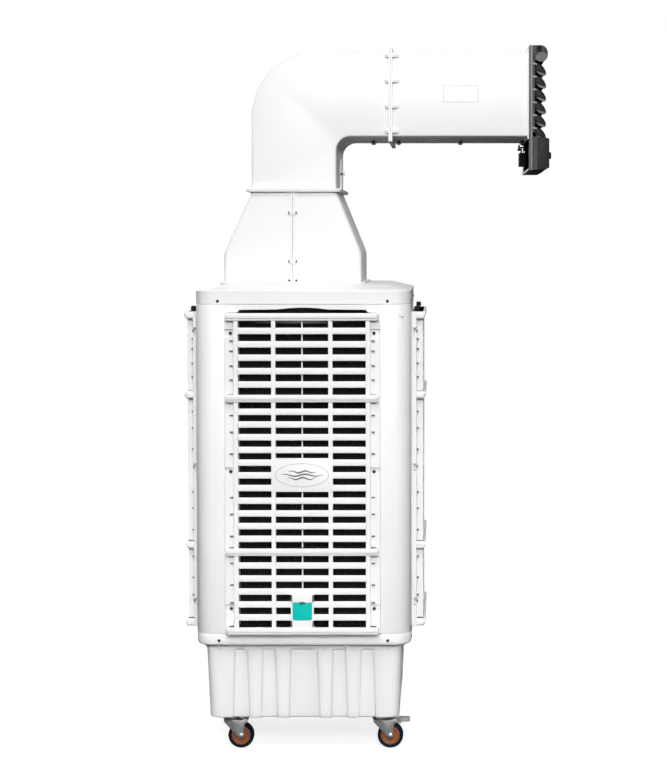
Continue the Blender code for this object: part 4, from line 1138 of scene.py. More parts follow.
# Outlet frame: a dark face plate on a paler flange, with a round-nosed visor and side rails
PLATE_BACK, PLATE_FACE = OUTLET[0].x, 0.660
OUTLET_HALF = OUTLET[1].y
OUTLET_LOW, OUTLET_TOP = OUTLET[0].z, OUTLET[1].z
OUTLET_MIDDLE = (OUTLET_LOW + OUTLET_TOP) / 2
OPEN_HALF = DEPTH - SHEET
NOSE = (OUTLET[1].x - 0.0215, OUTLET_TOP - 0.0215)
NOSE_RADIUS = 0.0215
RAIL_TOP = 2.008


VANE_PIVOTS = [joint_spot(f"vane_h_{number}_tilt") for number in range(1, 7)]
VANE_HALF = 0.2045


def bezier(points, steps):
    """A smooth curve drawn by its control points, from the first of them to the last."""
    curve = []
    for step in range(steps + 1):
        share = step / steps
        row = [Vector(point) for point in points]
        while len(row) > 1:
            row = [a.lerp(b, share) for a, b in zip(row, row[1:])]
        curve.append(tuple(row[0]))
    return curve


def frame_ring(shape, low, high, inset):
    """A rectangular ring about the opening."""
    half_z = (OUTLET_TOP - OUTLET_LOW) / 2
    rings = []
    for reach, x in ((0.0012, low), (0.0, low + 0.0012), (0.0, high - 0.0012), (0.0012, high)):
        half = OUTLET_HALF - inset - reach
        rings.append(flat("x", rounded(half, half_z - inset - reach, 0.004, 4, (0, OUTLET_MIDDLE)), x))
    opening = ((DUCT_LOW + DUCT_TOP) / 2, (DUCT_TOP - DUCT_LOW) / 2 - SHEET)
    for x in (high, low):
        rings.append(flat("x", rounded(OPEN_HALF, opening[1], 0.004, 4, (0, opening[0])), x))
    skin(shape, rings, hollow=True)


def visor(shape):
    """The hood over the vanes: a shell with a round nose, open below, and closed ends."""
    outer = [(PLATE_FACE - 0.001, OUTLET_TOP - 0.0012), (PLATE_FACE, OUTLET_TOP)]
    outer += arc(NOSE, NOSE_RADIUS, 90, -60, 18)
    inner = arc(NOSE, NOSE_RADIUS - 0.0035, -60, 90, 18)
    inner += [(PLATE_FACE - 0.001, OUTLET_TOP - 0.0035)]
    prism(shape, "y", outer + inner, -OUTLET_HALF + 0.003, OUTLET_HALF - 0.003)
    full = outer[:2] + bezier(((0.6850, OUTLET_TOP), (0.6980, 2.0420), (0.7034, 2.0320), (0.7034, 2.0180)), 8)
    full += bezier(((0.7034, 2.0180), (0.7034, 2.0040), (0.6930, 1.9950), (0.6820, 1.9955)), 8)[1:]
    full += [(0.6760, 1.9968), (0.6635, 2.0044), (PLATE_FACE - 0.001, 2.0060)]
    for ys in both_sides(OUTLET_HALF - 0.0035, OUTLET_HALF):
        def outline_of(inset):
            centre = (NOSE[0] - 0.010, NOSE[1])
            shrink = 1 - inset / 0.03
            return [(centre[0] + (x - centre[0]) * shrink, centre[1] + (z - centre[1]) * shrink)
                    for x, z in full]
        soft_plate(shape, "y", outline_of, *ys, 0.0011, 3)


def outlet_rails(shape):
    """Side walls that carry the vanes' pins."""
    for ys in both_sides(0.2065, OUTLET_HALF):
        block(shape, (PLATE_FACE - 0.002, ys[0], 1.794), (0.6662, ys[1], RAIL_TOP))


def pivot_highlights(shape):
    """A tab on the rails at each vane's pin, drawn pale as a painted highlight."""
    for pivot in VANE_PIVOTS:
        tab = [(0.6590, 0.0040), (0.6630, 0.0042), (0.6722, 0.0012), (0.6722, -0.0030), (0.6590, -0.0012)]
        outline = [(x, pivot.z + z) for x, z in tab]
        for ys in both_sides(0.2066, OUTLET_HALF + 0.0004):
            prism(shape, "y", outline, *ys)


def visor_slot_shade(shape):
    """Painted shade: a near-black patch for the slot in each end of the visor."""
    for ys in both_sides(OUTLET_HALF - 0.001, OUTLET_HALF + 0.0004):
        block(shape, (NOSE[0] - 0.011, ys[0], OUTLET_TOP - 0.0182),
              (NOSE[0] + 0.0035, ys[1], OUTLET_TOP - 0.0012))


def visor_sheen(shape):
    """A paler patch on the lower part of each end of the visor, bowed above and rounded below: painted
    reflection.
    """
    outline = bezier(((0.6665, 2.0055), (0.6700, 2.0240), (0.6900, 2.0300), (0.7022, 2.0160)), 10)
    outline += bezier(((0.7022, 2.0160), (0.7010, 2.0040), (0.6920, 1.9960), (0.6825, 1.9970)), 8)[1:]
    outline += [(0.6765, 1.9982)]
    for ys in both_sides(OUTLET_HALF - 0.001, OUTLET_HALF + 0.0006):
        prism(shape, "y", outline, *ys)


def outlet_lips(shape):
    """Flared lips on the frame's back edge, above and below."""
    top = [(PLATE_BACK + 0.004, OUTLET_TOP - 0.002), (PLATE_BACK + 0.0062, OUTLET_TOP + 0.0030)]
    top += [(PLATE_BACK + 0.0048, OUTLET_TOP + 0.0026), (PLATE_BACK - 0.0015, OUTLET_TOP - 0.0165)]
    top += [(PLATE_BACK + 0.003, OUTLET_TOP - 0.0165)]
    low = [(PLATE_BACK + 0.003, OUTLET_LOW + 0.010), (PLATE_BACK - 0.002, OUTLET_LOW + 0.005)]
    low += [(PLATE_BACK - 0.002, OUTLET_LOW - 0.001), (PLATE_BACK + 0.004, OUTLET_LOW + 0.001)]
    for outline in (top, low):
        prism(shape, "y", outline, -OUTLET_HALF + 0.001, OUTLET_HALF - 0.001)


piece("outlet_flange", shape_from(frame_ring, PLATE_BACK + 0.0052, PLATE_FACE - 0.0004, -0.0005), "cabinet",
      "pale_grey", angle=30)
piece("outlet_plate", shape_from(frame_ring, PLATE_BACK, PLATE_FACE, 0.0), "cabinet", "slate",
      ["outlet_frame"], angle=30)
piece("outlet_visor", visor, "cabinet", "charcoal_soft", angle=30)
piece("outlet_visor_slot_shade", visor_slot_shade, "cabinet", "inner_black", edge=0.0003)
piece("outlet_visor_sheen", visor_sheen, "cabinet", "slate", edge=0.0003)
piece("outlet_rails", outlet_rails, "cabinet", "charcoal_soft", edge=0.0008)
piece("outlet_pivot_highlights", pivot_highlights, "cabinet", "pale_grey", edge=0.0004)
piece("outlet_lips", outlet_lips, "cabinet", "slate", edge=0.0006)


# Horizontal vanes: a curved blade between two leaf-shaped ends
CREST = bezier(((-0.002, 0.0054), (0.0120, 0.0054), (0.0262, -0.0065), (0.0308, -0.0220)), 14)
LEAF = CREST + bezier(((0.0308, -0.0220), (0.0328, -0.0292), (0.0310, -0.0347), (0.0225, -0.0335)), 8)[1:]
LEAF += bezier(((0.0225, -0.0335), (0.0140, -0.0320), (0.0060, -0.0262), (0.0015, -0.0205)), 6)[1:]
LEAF_MIDDLE = (0.0145, -0.0140)


def shrunk(outline, centre, amount):
    """An outline drawn in towards a centre by about a distance."""
    factor = 1 - amount / 0.016
    return [(centre[0] + (x - centre[0]) * factor, centre[1] + (z - centre[1]) * factor) for x, z in outline]


def vane_blade(shape, pivot):
    inside = [(x - 0.0016, z - 0.0021) for x, z in reversed(CREST)]
    prism(shape, "y", moved(CREST + inside, pivot), -VANE_HALF + 0.001, VANE_HALF - 0.001)
    for ys in both_sides(VANE_HALF - 0.001, OUTLET_HALF - 0.0012):
        turned(shape, "y", (pivot.x, pivot.z), [(0.0029, ys[0]), (0.0029, ys[1])], 16)


def vane_ends(shape, pivot):
    for ys in both_sides(VANE_HALF - 0.0026, VANE_HALF):
        def outline_of(inset):
            return moved(shrunk(LEAF, LEAF_MIDDLE, inset), pivot)
        soft_plate(shape, "y", outline_of, *ys, 0.0009, 2)


def vane_crest_shade(shape, pivot):
    """Painted dark reflection along the crest of each leaf, and painted shade in the fold under it."""
    inside = bezier(((0.0020, 0.0010), (0.0110, 0.0000), (0.0225, -0.0095), (0.0278, -0.0230)), 14)
    fold = [(0.0015, -0.0160), (0.0060, -0.0165), (0.0265, -0.0245), (0.0280, -0.0270), (0.0060, -0.0200)]
    for ys in both_sides(VANE_HALF - 0.0005, VANE_HALF + 0.0006):
        for outline in (CREST + inside[::-1], fold):
            prism(shape, "y", moved(outline, pivot), *ys)


def vane_sheen(shape, pivot):
    """The raised lower half of each leaf, drawn paler as a painted reflection of the glossy leaf."""
    lower = [(0.0035, -0.0205), (0.0065, -0.0205), (0.0290, -0.0275)]
    lower += bezier(((0.0300, -0.0280), (0.0308, -0.0322), (0.0288, -0.0338), (0.0225, -0.0327)), 6)
    lower += [(0.0150, -0.0308), (0.0070, -0.0250)]
    for ys in both_sides(VANE_HALF - 0.0005, VANE_HALF + 0.0005):
        prism(shape, "y", moved(lower, pivot), *ys)


for number, pivot in enumerate(VANE_PIVOTS, 1):
    node = f"vane_h_{number}"
    piece(f"{node}_blade", shape_from(vane_blade, pivot), node, "charcoal", [node], angle=30)
    piece(f"{node}_ends", shape_from(vane_ends, pivot), node, "charcoal", angle=30)
    piece(f"{node}_crests", shape_from(vane_crest_shade, pivot), node, "inner_black", angle=30)
    piece(f"{node}_cheeks", shape_from(vane_sheen, pivot), node, "slate", edge=0.0003)


# Swing motor and its cover under the outlet
COVER_LOWEST, COVER_HIGHEST = local_box("outlet_motor_cover")
COVER_FRONT = 0.708
KNOB_Y, KNOB_Z = -0.170, 1.728


def cover_outline(inset):
    front = COVER_FRONT - inset
    low, high = COVER_LOWEST.z + inset, 1.752 - inset
    return [(COVER_LOWEST.x + inset, high), (front - 0.006, high), (front - 0.0015, high - 0.0015),
            (front, high - 0.006), (front, low + 0.012), (front - 0.0015, low + 0.008),
            (front - 0.011, low + 0.0012), (front - 0.016, low), (COVER_LOWEST.x + inset, low)]


def motor_cover(shape):
    soft_plate(shape, "y", cover_outline, -OUTLET_HALF, OUTLET_HALF, 0.0014, 3)


def cover_cheeks(shape):
    """Raised side walls that carry on up beside the lowest vane."""
    for ys in both_sides(0.2092, OUTLET_HALF + 0.0004):
        def outline_of(inset):
            left, front = COVER_LOWEST.x + inset, COVER_FRONT - inset
            return [(left, COVER_HIGHEST.z - inset), (front - 0.014, COVER_HIGHEST.z - 0.002 - inset),
                    (front, COVER_HIGHEST.z - 0.007 - inset), (front, 1.690), (left, 1.690)]
        soft_plate(shape, "y", outline_of, *ys, 0.0008, 2)


def cover_strips(shape):
    """Pale back strips of the cover's ends."""
    for ys in both_sides(OUTLET_HALF - 0.001, OUTLET_HALF + 0.0009):
        block(shape, (COVER_LOWEST.x + 0.0004, ys[0], COVER_LOWEST.z + 0.001),
              (COVER_LOWEST.x + 0.0132, ys[1], COVER_HIGHEST.z - 0.001))


def cover_knob(shape):
    profile = [(0.0100, COVER_FRONT - 0.002), (0.0104, COVER_FRONT + 0.0015), (0.0100, COVER_FRONT + 0.0045)]
    profile += [(0.0085, COVER_HIGHEST.x), (0.0030, COVER_HIGHEST.x)]
    turned(shape, "x", (KNOB_Y, KNOB_Z), profile, 28)
    block(shape, (COVER_FRONT + 0.002, KNOB_Y - 0.0012, KNOB_Z - 0.008),
          (COVER_HIGHEST.x + 0.0008, KNOB_Y + 0.0012, KNOB_Z + 0.008))


MOTOR_LOW, MOTOR_HIGH = local_box("swing_motor")


def swing_motor(shape):
    """A small gear motor with a stepped case, and its bracket under the duct."""
    centre = ((MOTOR_LOW.x + MOTOR_HIGH.x) / 2, (MOTOR_LOW.z + MOTOR_HIGH.z) / 2 - 0.003)
    half = ((MOTOR_HIGH.x - MOTOR_LOW.x) / 2, 0.020)
    rounded_plate(shape, "y", half, 0.003, -0.030, 0.030, 0.0012, 2, 4, centre)
    turned(shape, "y", centre, [(0.0075, -0.0335), (0.0085, -0.0325), (0.0085, 0.0)], 24)
    block(shape, (MOTOR_LOW.x + 0.006, -0.024, centre[1]), (MOTOR_LOW.x + 0.009, 0.024, 1.7605))
    block(shape, (MOTOR_LOW.x - 0.001, -0.024, 1.7585), (MOTOR_HIGH.x, 0.024, 1.7605))


def motor_bolts(shape):
    for x in (MOTOR_LOW.x + 0.001, MOTOR_HIGH.x - 0.003):
        for y in (-0.018, 0.018):
            profile = [(0.0032, 1.7500), (0.0046, 1.7512), (0.0046, 1.7548)]
            profile += [(0.0022, 1.7550), (0.0022, 1.767)]
            turned(shape, "z", (x, y), profile, 6)


piece("motor_cover_shell", motor_cover, "cabinet", "charcoal", ["outlet_motor_cover"], angle=30)
piece("motor_cover_cheeks", cover_cheeks, "cabinet", "charcoal", angle=30)
piece("motor_cover_strips", cover_strips, "cabinet", "charcoal_soft", edge=0.0004)
piece("motor_cover_knob", cover_knob, "cabinet", "inner_black", edge=0.0004)
piece("swing_motor_case", swing_motor, "cabinet", "inner_black", ["swing_motor"], angle=30, edge=0.0004)
piece("swing_motor_bolts", motor_bolts, "cabinet", "inner_black", edge=0.0003)


# Casters: plate and race under the tank, a pressed fork, a banded wheel and, on the right, a pedal
PLACES = ("front_left", "rear_left", "front_right", "rear_right")
TRAIL = abs((joint_spot("wheel_spin_front_right") - joint_spot("caster_swivel_front_right")).x)
WHEEL = joint_spot("wheel_spin_front_right").z
LEG_IN, LEG_OUT = 0.0155, 0.0180
HALF_TREAD = 0.013
PEDAL_PIN = (0.042, 0.081)


def caster_plate(shape):
    rounded_plate(shape, "z", (0.037, 0.031), 0.006, TANK_LOW - 0.0034, TANK_LOW - 0.0002, 0.0006)
    for x in (-0.028, 0.028):
        for y in (-0.022, 0.022):
            profile = [(0.0040, TANK_LOW - 0.0070), (0.0048, TANK_LOW - 0.0064), (0.0048, TANK_LOW - 0.003)]
            turned(shape, "z", (x, y), profile, 6)


def caster_race(shape):
    """The ball race between plate and fork."""
    profile = [(0.020, 0.0838), (0.0235, 0.0842), (0.0240, 0.0875), (0.0225, 0.0895), (0.0225, 0.0905)]
    profile += [(0.0260, 0.0915), (0.0272, 0.0940), (0.0265, 0.0968), (0.0225, 0.0982)]
    turned(shape, "z", (0, 0), profile, 40)


def fork_leg_outline(inset):
    foot = arc((TRAIL, WHEEL), 0.0090 - inset, 217, 360, 14)
    ear = bezier(((TRAIL + 0.0090 - inset, WHEEL + 0.020), (TRAIL + 0.0095 - inset, 0.0690),
                  (TRAIL + 0.0120, 0.0750 + inset), (0.0490 - inset, 0.0770 + inset)), 6)
    top = [(0.0490 - inset, 0.0862 - inset), (0.0350 + inset, 0.0862 - inset), (0.0310, 0.0828 - inset)]
    return [(-0.0205 + inset, 0.0828 - inset), (-0.0205 + inset, 0.0790)] + foot + ear + top


def fork_legs(shape):
    for ys in both_sides(LEG_IN, LEG_OUT):
        soft_plate(shape, "y", fork_leg_outline, *ys, 0.0006, 2)


def fork_crown(shape):
    """The fork's top with both bends rounded."""
    half = LEG_OUT
    outline = arc((-half + 0.004, 0.0795), 0.004, 180, 90, 5) + arc((half - 0.004, 0.0795), 0.004, 90, 0, 5)
    outline += arc((half - 0.004, 0.0795), 0.0015, 0, 90, 4)
    outline += arc((-half + 0.004, 0.0795), 0.0015, 90, 180, 4)
    prism(shape, "x", outline, -0.0200, 0.0315)


def leg_folds(shape):
    """The pressed step across each leg, which stiffens it."""
    for ys in both_sides(LEG_OUT - 0.0002, LEG_OUT + 0.0011):
        outline = [(0.0060, 0.0815), (0.0105, 0.0470), (TRAIL - 0.0065, 0.0385), (TRAIL + 0.0060, 0.0385),
                   (TRAIL + 0.0068, 0.0640), (TRAIL + 0.0085, 0.0815)]

        def outline_of(inset):
            centre = (0.0230, 0.0600)
            return shrunk(outline, centre, inset)

        soft_plate(shape, "y", outline_of, *ys, 0.0009, 2)


def axle_bolt(shape):
    """The axle, with a washer, a nut and the bolt's end outside each leg."""
    washer = ((0.0072, 0.0), (0.0076, 0.0014), (0.0070, 0.0018))
    head = ((0.0056, 0.0016), (0.0056, 0.0050), (0.0048, 0.0058))
    stud = ((0.0028, 0.005), (0.0028, 0.0068), (0.0022, 0.0074))
    for end in (-1, 1):
        for sides, profile in ((24, washer), (6, head), (16, stud)):
            turned(shape, "y", (TRAIL, WHEEL), [(r, end * (LEG_OUT + out)) for r, out in profile], sides)
    turned(shape, "y", (TRAIL, WHEEL), [(0.0040, -LEG_IN - 0.001), (0.0040, LEG_IN + 0.001)], 20)


def tyre(shape):
    half = HALF_TREAD
    side = [(0.0272, half - 0.0032), (0.0276, half - 0.0018), (0.0335, half - 0.0006)]
    side += arc((WHEEL - 0.0045, half - 0.0045), 0.0045, 80, 10, 6)
    profile = side + [(WHEEL, 0.0)] + [(radius, -along) for radius, along in reversed(side)]
    turned(shape, "y", (TRAIL, WHEEL), profile, 72, hollow=True)


def hub(shape):
    """The wheel's centre: a rim, a dished web and a raised boss."""
    half = HALF_TREAD
    side = [(0.0046, half + 0.0015), (0.0105, half + 0.0015), (0.0112, half + 0.0009)]
    side += [(0.0118, half - 0.0048), (0.0128, half - 0.0056), (0.0205, half - 0.0056)]
    side += [(0.0222, half - 0.0046), (0.0236, half - 0.0012), (0.0244, half - 0.0007)]
    side += [(0.0268, half - 0.0010), (0.0274, half - 0.0020)]
    profile = side + [(radius, -along) for radius, along in reversed(side)]
    turned(shape, "y", (TRAIL, WHEEL), profile, 64, hollow=True)


def hub_ribs(shape):
    """Six short ribs on each side of the hub's web."""
    for ys in both_sides(HALF_TREAD - 0.0060, HALF_TREAD - 0.0022):
        for step in range(6):
            spin = Matrix.Rotation(math.radians(60 * step + 12), 4, "Y")
            verts = block(shape, (0.0108, ys[0], -0.0011), (0.0232, ys[1], 0.0011))
            bmesh.ops.transform(shape, matrix=Matrix.Translation((TRAIL, 0, WHEEL)) @ spin, verts=verts)


def pedal_metal(shape):
    """The pedal's pressed arm, with a turned-down lip, two stiffening tabs and the pin."""
    block(shape, (0.0350, 0.0012 - LEG_IN, 0.0790), (0.0530, LEG_IN - 0.0012, 0.0815))
    lip = [(0.0500, 0.0790), (0.0520, 0.0775), (0.0835, 0.0790), (0.0862, 0.0812), (0.0862, 0.0835),
           (0.0520, 0.0835)]
    prism(shape, "y", lip, -0.0170, 0.0170)
    tab = [(0.0500, 0.0790), (0.0500, 0.0745), (0.0560, 0.0725), (0.0600, 0.0740), (0.0640, 0.0790)]
    for ys in both_sides(0.0125, 0.0143):
        prism(shape, "y", tab, *ys)
    turned(shape, "y", PEDAL_PIN, [(0.0021, -LEG_OUT + 0.0002), (0.0021, LEG_OUT - 0.0002)], 16)


def pedal_pad(shape):
    """The ribbed rubber tread on the pedal."""
    rounded_plate(shape, "z", (0.0170, 0.0170), 0.003, 0.0836, 0.0874, 0.0008, 2, 4, (0.0685, 0))
    for step in range(6):
        x = 0.0565 + 0.0048 * step
        block(shape, (x, -0.0135, 0.0868), (x + 0.0022, 0.0135, 0.0882))


def caster_piece(name, build, place, body, look, *stands_for, **more):
    """A piece built about a swivel that trails towards +X, turned to the place's own trail."""
    shape = shape_from(build)
    spot = joint_spot(f"caster_swivel_{place}")
    trails = joint_spot(f"wheel_spin_{place}").x > spot.x
    matrix = Matrix.Translation((spot.x, spot.y, 0)) @ Matrix.Rotation(0.0 if trails else math.pi, 4, "Z")
    bmesh.ops.transform(shape, matrix=matrix, verts=shape.verts)
    piece(f"{name}_{place}", shape, body, look, stands_for, **more)


for place in PLACES:
    fork_body, wheel_body = f"fork_{place}", f"wheel_{place}"
    caster_piece("caster_plate", caster_plate, place, "cabinet", "zinc", edge=0.0003)
    caster_piece("caster_race", caster_race, place, fork_body, "zinc", angle=40)
    caster_piece("fork_legs", fork_legs, place, fork_body, "zinc", f"caster_fork_{place}", angle=30)
    caster_piece("fork_crown", fork_crown, place, fork_body, "zinc", angle=30)
    caster_piece("fork_folds", leg_folds, place, fork_body, "zinc", angle=30)
    caster_piece("axle_bolt", axle_bolt, place, fork_body, "bright", edge=0.0003)
    caster_piece("tyre", tyre, place, wheel_body, "tyre", f"caster_wheel_{place}", angle=40)
    caster_piece("hub", hub, place, wheel_body, "hub", angle=30, edge=0.0002)
    caster_piece("hub_ribs", hub_ribs, place, wheel_body, "hub", edge=0.0003)
    if f"brake_{place}" in JOINTS:
        pedal_body = f"pedal_{place}"
        caster_piece("pedal_arm", pedal_metal, place, pedal_body, "zinc", f"brake_pedal_{place}",
                     edge=0.0004)
        caster_piece("pedal_pad", pedal_pad, place, pedal_body, "grey", edge=0.0003)


# Rear side: plate with a pressed border, control panel, buttons, cable gland, valve and drain
REAR_LOW, REAR_HIGH = local_box("rear_panel")
CONTROL_LOW, CONTROL_HIGH = local_box("control_panel")
CONTROL_MIDDLE = (CONTROL_LOW + CONTROL_HIGH) / 2
DISPLAY = (CONTROL_MIDDLE.x, CONTROL_MIDDLE.z + 0.026)
INLET_Z = 0.285


def stepped_plate(shape, low, high, centre, levels):
    """A plate in a box's width and height, whose outline changes by (inset, corner, depth)."""
    half_x, half_z = (high.x - low.x) / 2, (high.z - low.z) / 2
    skin(shape, [flat("y", rounded(half_x - inset, half_z - inset, corner, 6, centre), y)
                 for inset, corner, y in levels])


def rear_plate(shape):
    """A flat door with a rounded edge and a raised, softly framed field."""
    steps = ((0.0, REAR_LOW.y), (0.0, REAR_LOW.y + 0.006), (0.0008, REAR_LOW.y + 0.0072),
             (0.018, REAR_LOW.y + 0.0076), (0.0195, REAR_HIGH.y - 0.0022),
             (0.0210, REAR_HIGH.y - 0.0006), (0.0235, REAR_HIGH.y))
    centre = (0, (REAR_LOW.z + REAR_HIGH.z) / 2)
    levels = [(inset, 0.004 + 0.45 * inset, y) for inset, y in steps]
    stepped_plate(shape, REAR_LOW, REAR_HIGH, centre, levels)


def rear_ribs(shape):
    """Shallow stiffening ribs on the rear door, below the controls."""
    for step in range(5):
        centre = (0, 0.480 + 0.085 * step)
        low, high = REAR_HIGH.y - 0.001, REAR_HIGH.y + 0.0022
        rounded_plate(shape, "y", (0.150, 0.009), 0.0085, low, high, 0.0016, 3, 8, centre, 1)


def control_body(shape):
    steps = ((-0.006, REAR_HIGH.y - 0.002), (-0.006, REAR_HIGH.y + 0.0012), (-0.004, REAR_HIGH.y + 0.0020),
             (0.0, REAR_HIGH.y + 0.0022), (0.0, CONTROL_HIGH.y - 0.003), (0.0009, CONTROL_HIGH.y - 0.0009),
             (0.003, CONTROL_HIGH.y))
    levels = [(inset, 0.010 - 0.5 * min(inset, 0.003), y) for inset, y in steps]
    stepped_plate(shape, CONTROL_LOW, CONTROL_HIGH, (CONTROL_MIDDLE.x, CONTROL_MIDDLE.z), levels)


BUTTONS = ("power", "cooling", "swing")
BUTTON_SPOTS = {name: sum(local_box(f"button_{name}"), Vector()) / 2 for name in BUTTONS}
BUTTON_RADIUS = (local_box("button_power")[1].x - local_box("button_power")[0].x) / 2


def control_face():
    """The panel's body with its button wells and display recess cut in."""
    body = mesh_of(shape_from(control_body))
    wells = []
    for spot in BUTTON_SPOTS.values():
        well = bmesh.new()
        turned(well, "y", (spot.x, spot.z), [(BUTTON_RADIUS + 0.0009, CONTROL_HIGH.y - 0.008),
                                             (BUTTON_RADIUS + 0.0009, CONTROL_HIGH.y + 0.01)], 40)
        wells.append(well)
    display = bmesh.new()
    skin(display, [flat("y", rounded(0.072, 0.021, 0.004, 5, DISPLAY), y)
                   for y in (CONTROL_HIGH.y - 0.0016, CONTROL_HIGH.y + 0.01)])
    return cut(body, wells + [display])


def display(shape):
    low, high = CONTROL_HIGH.y - 0.0018, CONTROL_HIGH.y - 0.0006
    rounded_plate(shape, "y", (0.0712, 0.0202), 0.0035, low, high, 0.0004, 2, 5, DISPLAY)


def display_marks(shape):
    """Generic marks on the display: five level bars, a droplet and a fan's three blades."""
    y = CONTROL_HIGH.y - 0.0007
    z = DISPLAY[1]
    for step in range(5):
        along = 0.007 * step
        block(shape, (-0.012 + along, y, z - 0.008), (-0.0075 + along, y + 0.0003, z - 0.004 + 0.003 * step))
    drop = arc((0.048, z - 0.003), 0.006, 160, 380, 14) + [(0.048, z + 0.010)]
    prism(shape, "y", drop, y, y + 0.0003)
    for step in range(3):
        a = math.radians(120 * step + 30)
        spot = (-0.048 + 0.0055 * math.cos(a), z + 0.0055 * math.sin(a))
        prism(shape, "y", arc(spot, 0.0038, 0, 330, 11), y, y + 0.0003)


def button(shape, spot):
    top = CONTROL_HIGH.y + 0.004
    profile = [(BUTTON_RADIUS, CONTROL_HIGH.y - 0.0036), (BUTTON_RADIUS, top - 0.0016)]
    profile += [(BUTTON_RADIUS - 0.0005, top - 0.0005), (BUTTON_RADIUS - 0.0018, top)]
    profile += [(0.0062, top - 0.0006), (0.002, top - 0.0009)]
    turned(shape, "y", (spot.x, spot.z), profile, 40)


def button_mark(shape, spot):
    """A raised ring on a button's cap."""
    top = CONTROL_HIGH.y + 0.0034
    rings = [[at("y", spot.x + radius * math.cos(a), spot.z + radius * math.sin(a), y) for a in
              (2 * math.pi * k / 32 for k in range(32))] for radius, y in
             ((0.0044, top - 0.0008), (0.0044, top + 0.0003), (0.0036, top + 0.0003), (0.0036, top - 0.0008))]
    skin(shape, rings, hollow=True)


piece("rear_panel_door", rear_plate, "cabinet", "white", ["rear_panel"], angle=25)
piece("rear_panel_ribs", rear_ribs, "cabinet", "white", angle=30)
piece("control_panel_face", control_face(), "cabinet", "grey", ["control_panel"], angle=30)
piece("control_display", display, "cabinet", "inner_black", angle=30)
piece("control_display_marks", display_marks, "cabinet", "white")
for name, spot in BUTTON_SPOTS.items():
    body = f"button_{name}"
    piece(f"button_{name}_cap", shape_from(button, spot), body, "charcoal", [f"button_{name}"], angle=40)
    piece(f"button_{name}_mark", shape_from(button_mark, spot), body, "white", angle=40)


# Cable gland, hose inlet of the float valve, and the drain plug with its pull
def rearward(name):
    """A CAD node that points to the rear: its corners, its middle in x and z, and its radius."""
    low, high = local_box(name)
    return low, high, ((low.x + high.x) / 2, (low.z + high.z) / 2), (high.x - low.x) / 2


def gland(shape):
    low, high, spot, radius = rearward("cable_gland")
    turned(shape, "y", spot, [(radius * 0.72, low.y), (radius * 0.72, REAR_HIGH.y + 0.0005)], 6)
    turned(shape, "y", spot, [(radius, REAR_HIGH.y + 0.0003), (radius, REAR_HIGH.y + 0.0050),
                              (radius * 0.94, REAR_HIGH.y + 0.0058)], 6)
    cap = [(radius * 0.80, REAR_HIGH.y + 0.0056), (radius * 0.80, high.y - 0.004),
           (radius * 0.62, high.y - 0.0012), (radius * 0.50, high.y),
           (radius * 0.34, high.y), (radius * 0.34, high.y - 0.006)]
    turned(shape, "y", spot, cap, 32)


def inlet_valve(shape):
    """The float valve: a ribbed body in the tank, a threaded stub, a lock nut and a hose tail."""
    low, high = local_box("float_valve")
    spot = ((low.x + high.x) / 2, INLET_Z)
    wall = TANK_RIM - 0.0010
    body = [(0.0118, 0.2262), (0.0128, 0.2275)]
    for step in range(5):
        y = 0.2320 + 0.0055 * step
        body += [(0.0128, y), (0.0120, y + 0.0008), (0.0120, y + 0.0016), (0.0128, y + 0.0024)]
    body += [(0.0128, 0.2605), (0.0118, 0.2618)]
    turned(shape, "y", spot, body, 32)
    nut = [(0.0118, wall), (0.0126, wall + 0.0012), (0.0126, wall + 0.0060), (0.0118, wall + 0.0070)]
    turned(shape, "y", spot, nut, 6)
    stub = [(0.0082, 0.2610)]
    for step in range(11):
        y = wall + 0.0064 + 0.0014 * step
        stub += [(0.0082, y), (0.0087, y + 0.0007)]
    tail = high.y - 0.0145
    stub += [(0.0082, tail)]
    for step in range(3):
        y = tail + 0.0046 * step
        stub += [(0.0084, y + 0.0003), (0.0068, y + 0.0042)]
    stub += [(0.0062, high.y), (0.0046, high.y), (0.0046, high.y - 0.012)]
    turned(shape, "y", spot, stub, 28)
    pin = JOINTS["float_lift"]["pos_m"][0] - middle.x
    turned(shape, "y", (pin, INLET_Z), [(0.0020, low.y), (0.0020, 0.2300)], 16)


def drain(shape):
    """A stem through the wall, a knurled flange against it and a raised pull."""
    low, high, spot, radius = rearward("drain_plug")
    seat = high.y - 0.0165
    profile = [(0.0080, low.y), (0.0118, low.y + 0.0040), (0.0118, seat), (radius * 0.96, seat)]
    profile += [(radius, seat + 0.0008), (radius, seat + 0.0044), (radius * 0.95, seat + 0.0055)]
    profile += [(0.0108, seat + 0.0060), (0.0098, seat + 0.0078), (0.0098, high.y - 0.0016)]
    profile += [(0.0088, high.y - 0.0002), (0.0060, high.y - 0.0002), (0.0052, high.y - 0.0022)]
    turned(shape, "y", spot, profile, 40)
    knurl(shape, "y", spot, radius, 24, 0.0008, seat + 0.0010, seat + 0.0043)
    block(shape, (spot[0] - 0.0075, high.y - 0.0040, spot[1] - 0.0014),
          (spot[0] + 0.0075, high.y, spot[1] + 0.0014))


piece("cable_gland_body", gland, "cabinet", "charcoal", ["cable_gland"], edge=0.0003)
piece("float_valve_body", inlet_valve, "cabinet", "zinc", ["float_valve"], edge=0.0002)
piece("drain_plug_cap", drain, "plug", "charcoal", ["drain_plug"], angle=40)


# The CAD's own solids that stay, seen through the louvres and the outlet, take procedural looks
KEPT = {
    "fan_shroud": "grey", "fan_motor": "motor", "fan_impeller": "charcoal", "water_pump": "charcoal",
    "pump_impeller": "grey", "water_pipe": "pipe", "float_arm": "teal",
    "vane_h_link": "grey", "vane_v_1": "grey", "vane_v_2": "grey", "vane_v_3": "grey",
    "vane_v_link": "grey",
}
for name, look in KEPT.items():
    obj = bpy.data.objects[name]
    for slot in obj.material_slots:
        slot.material = LOOK[look]
    soften(obj, 0.0004, 40)


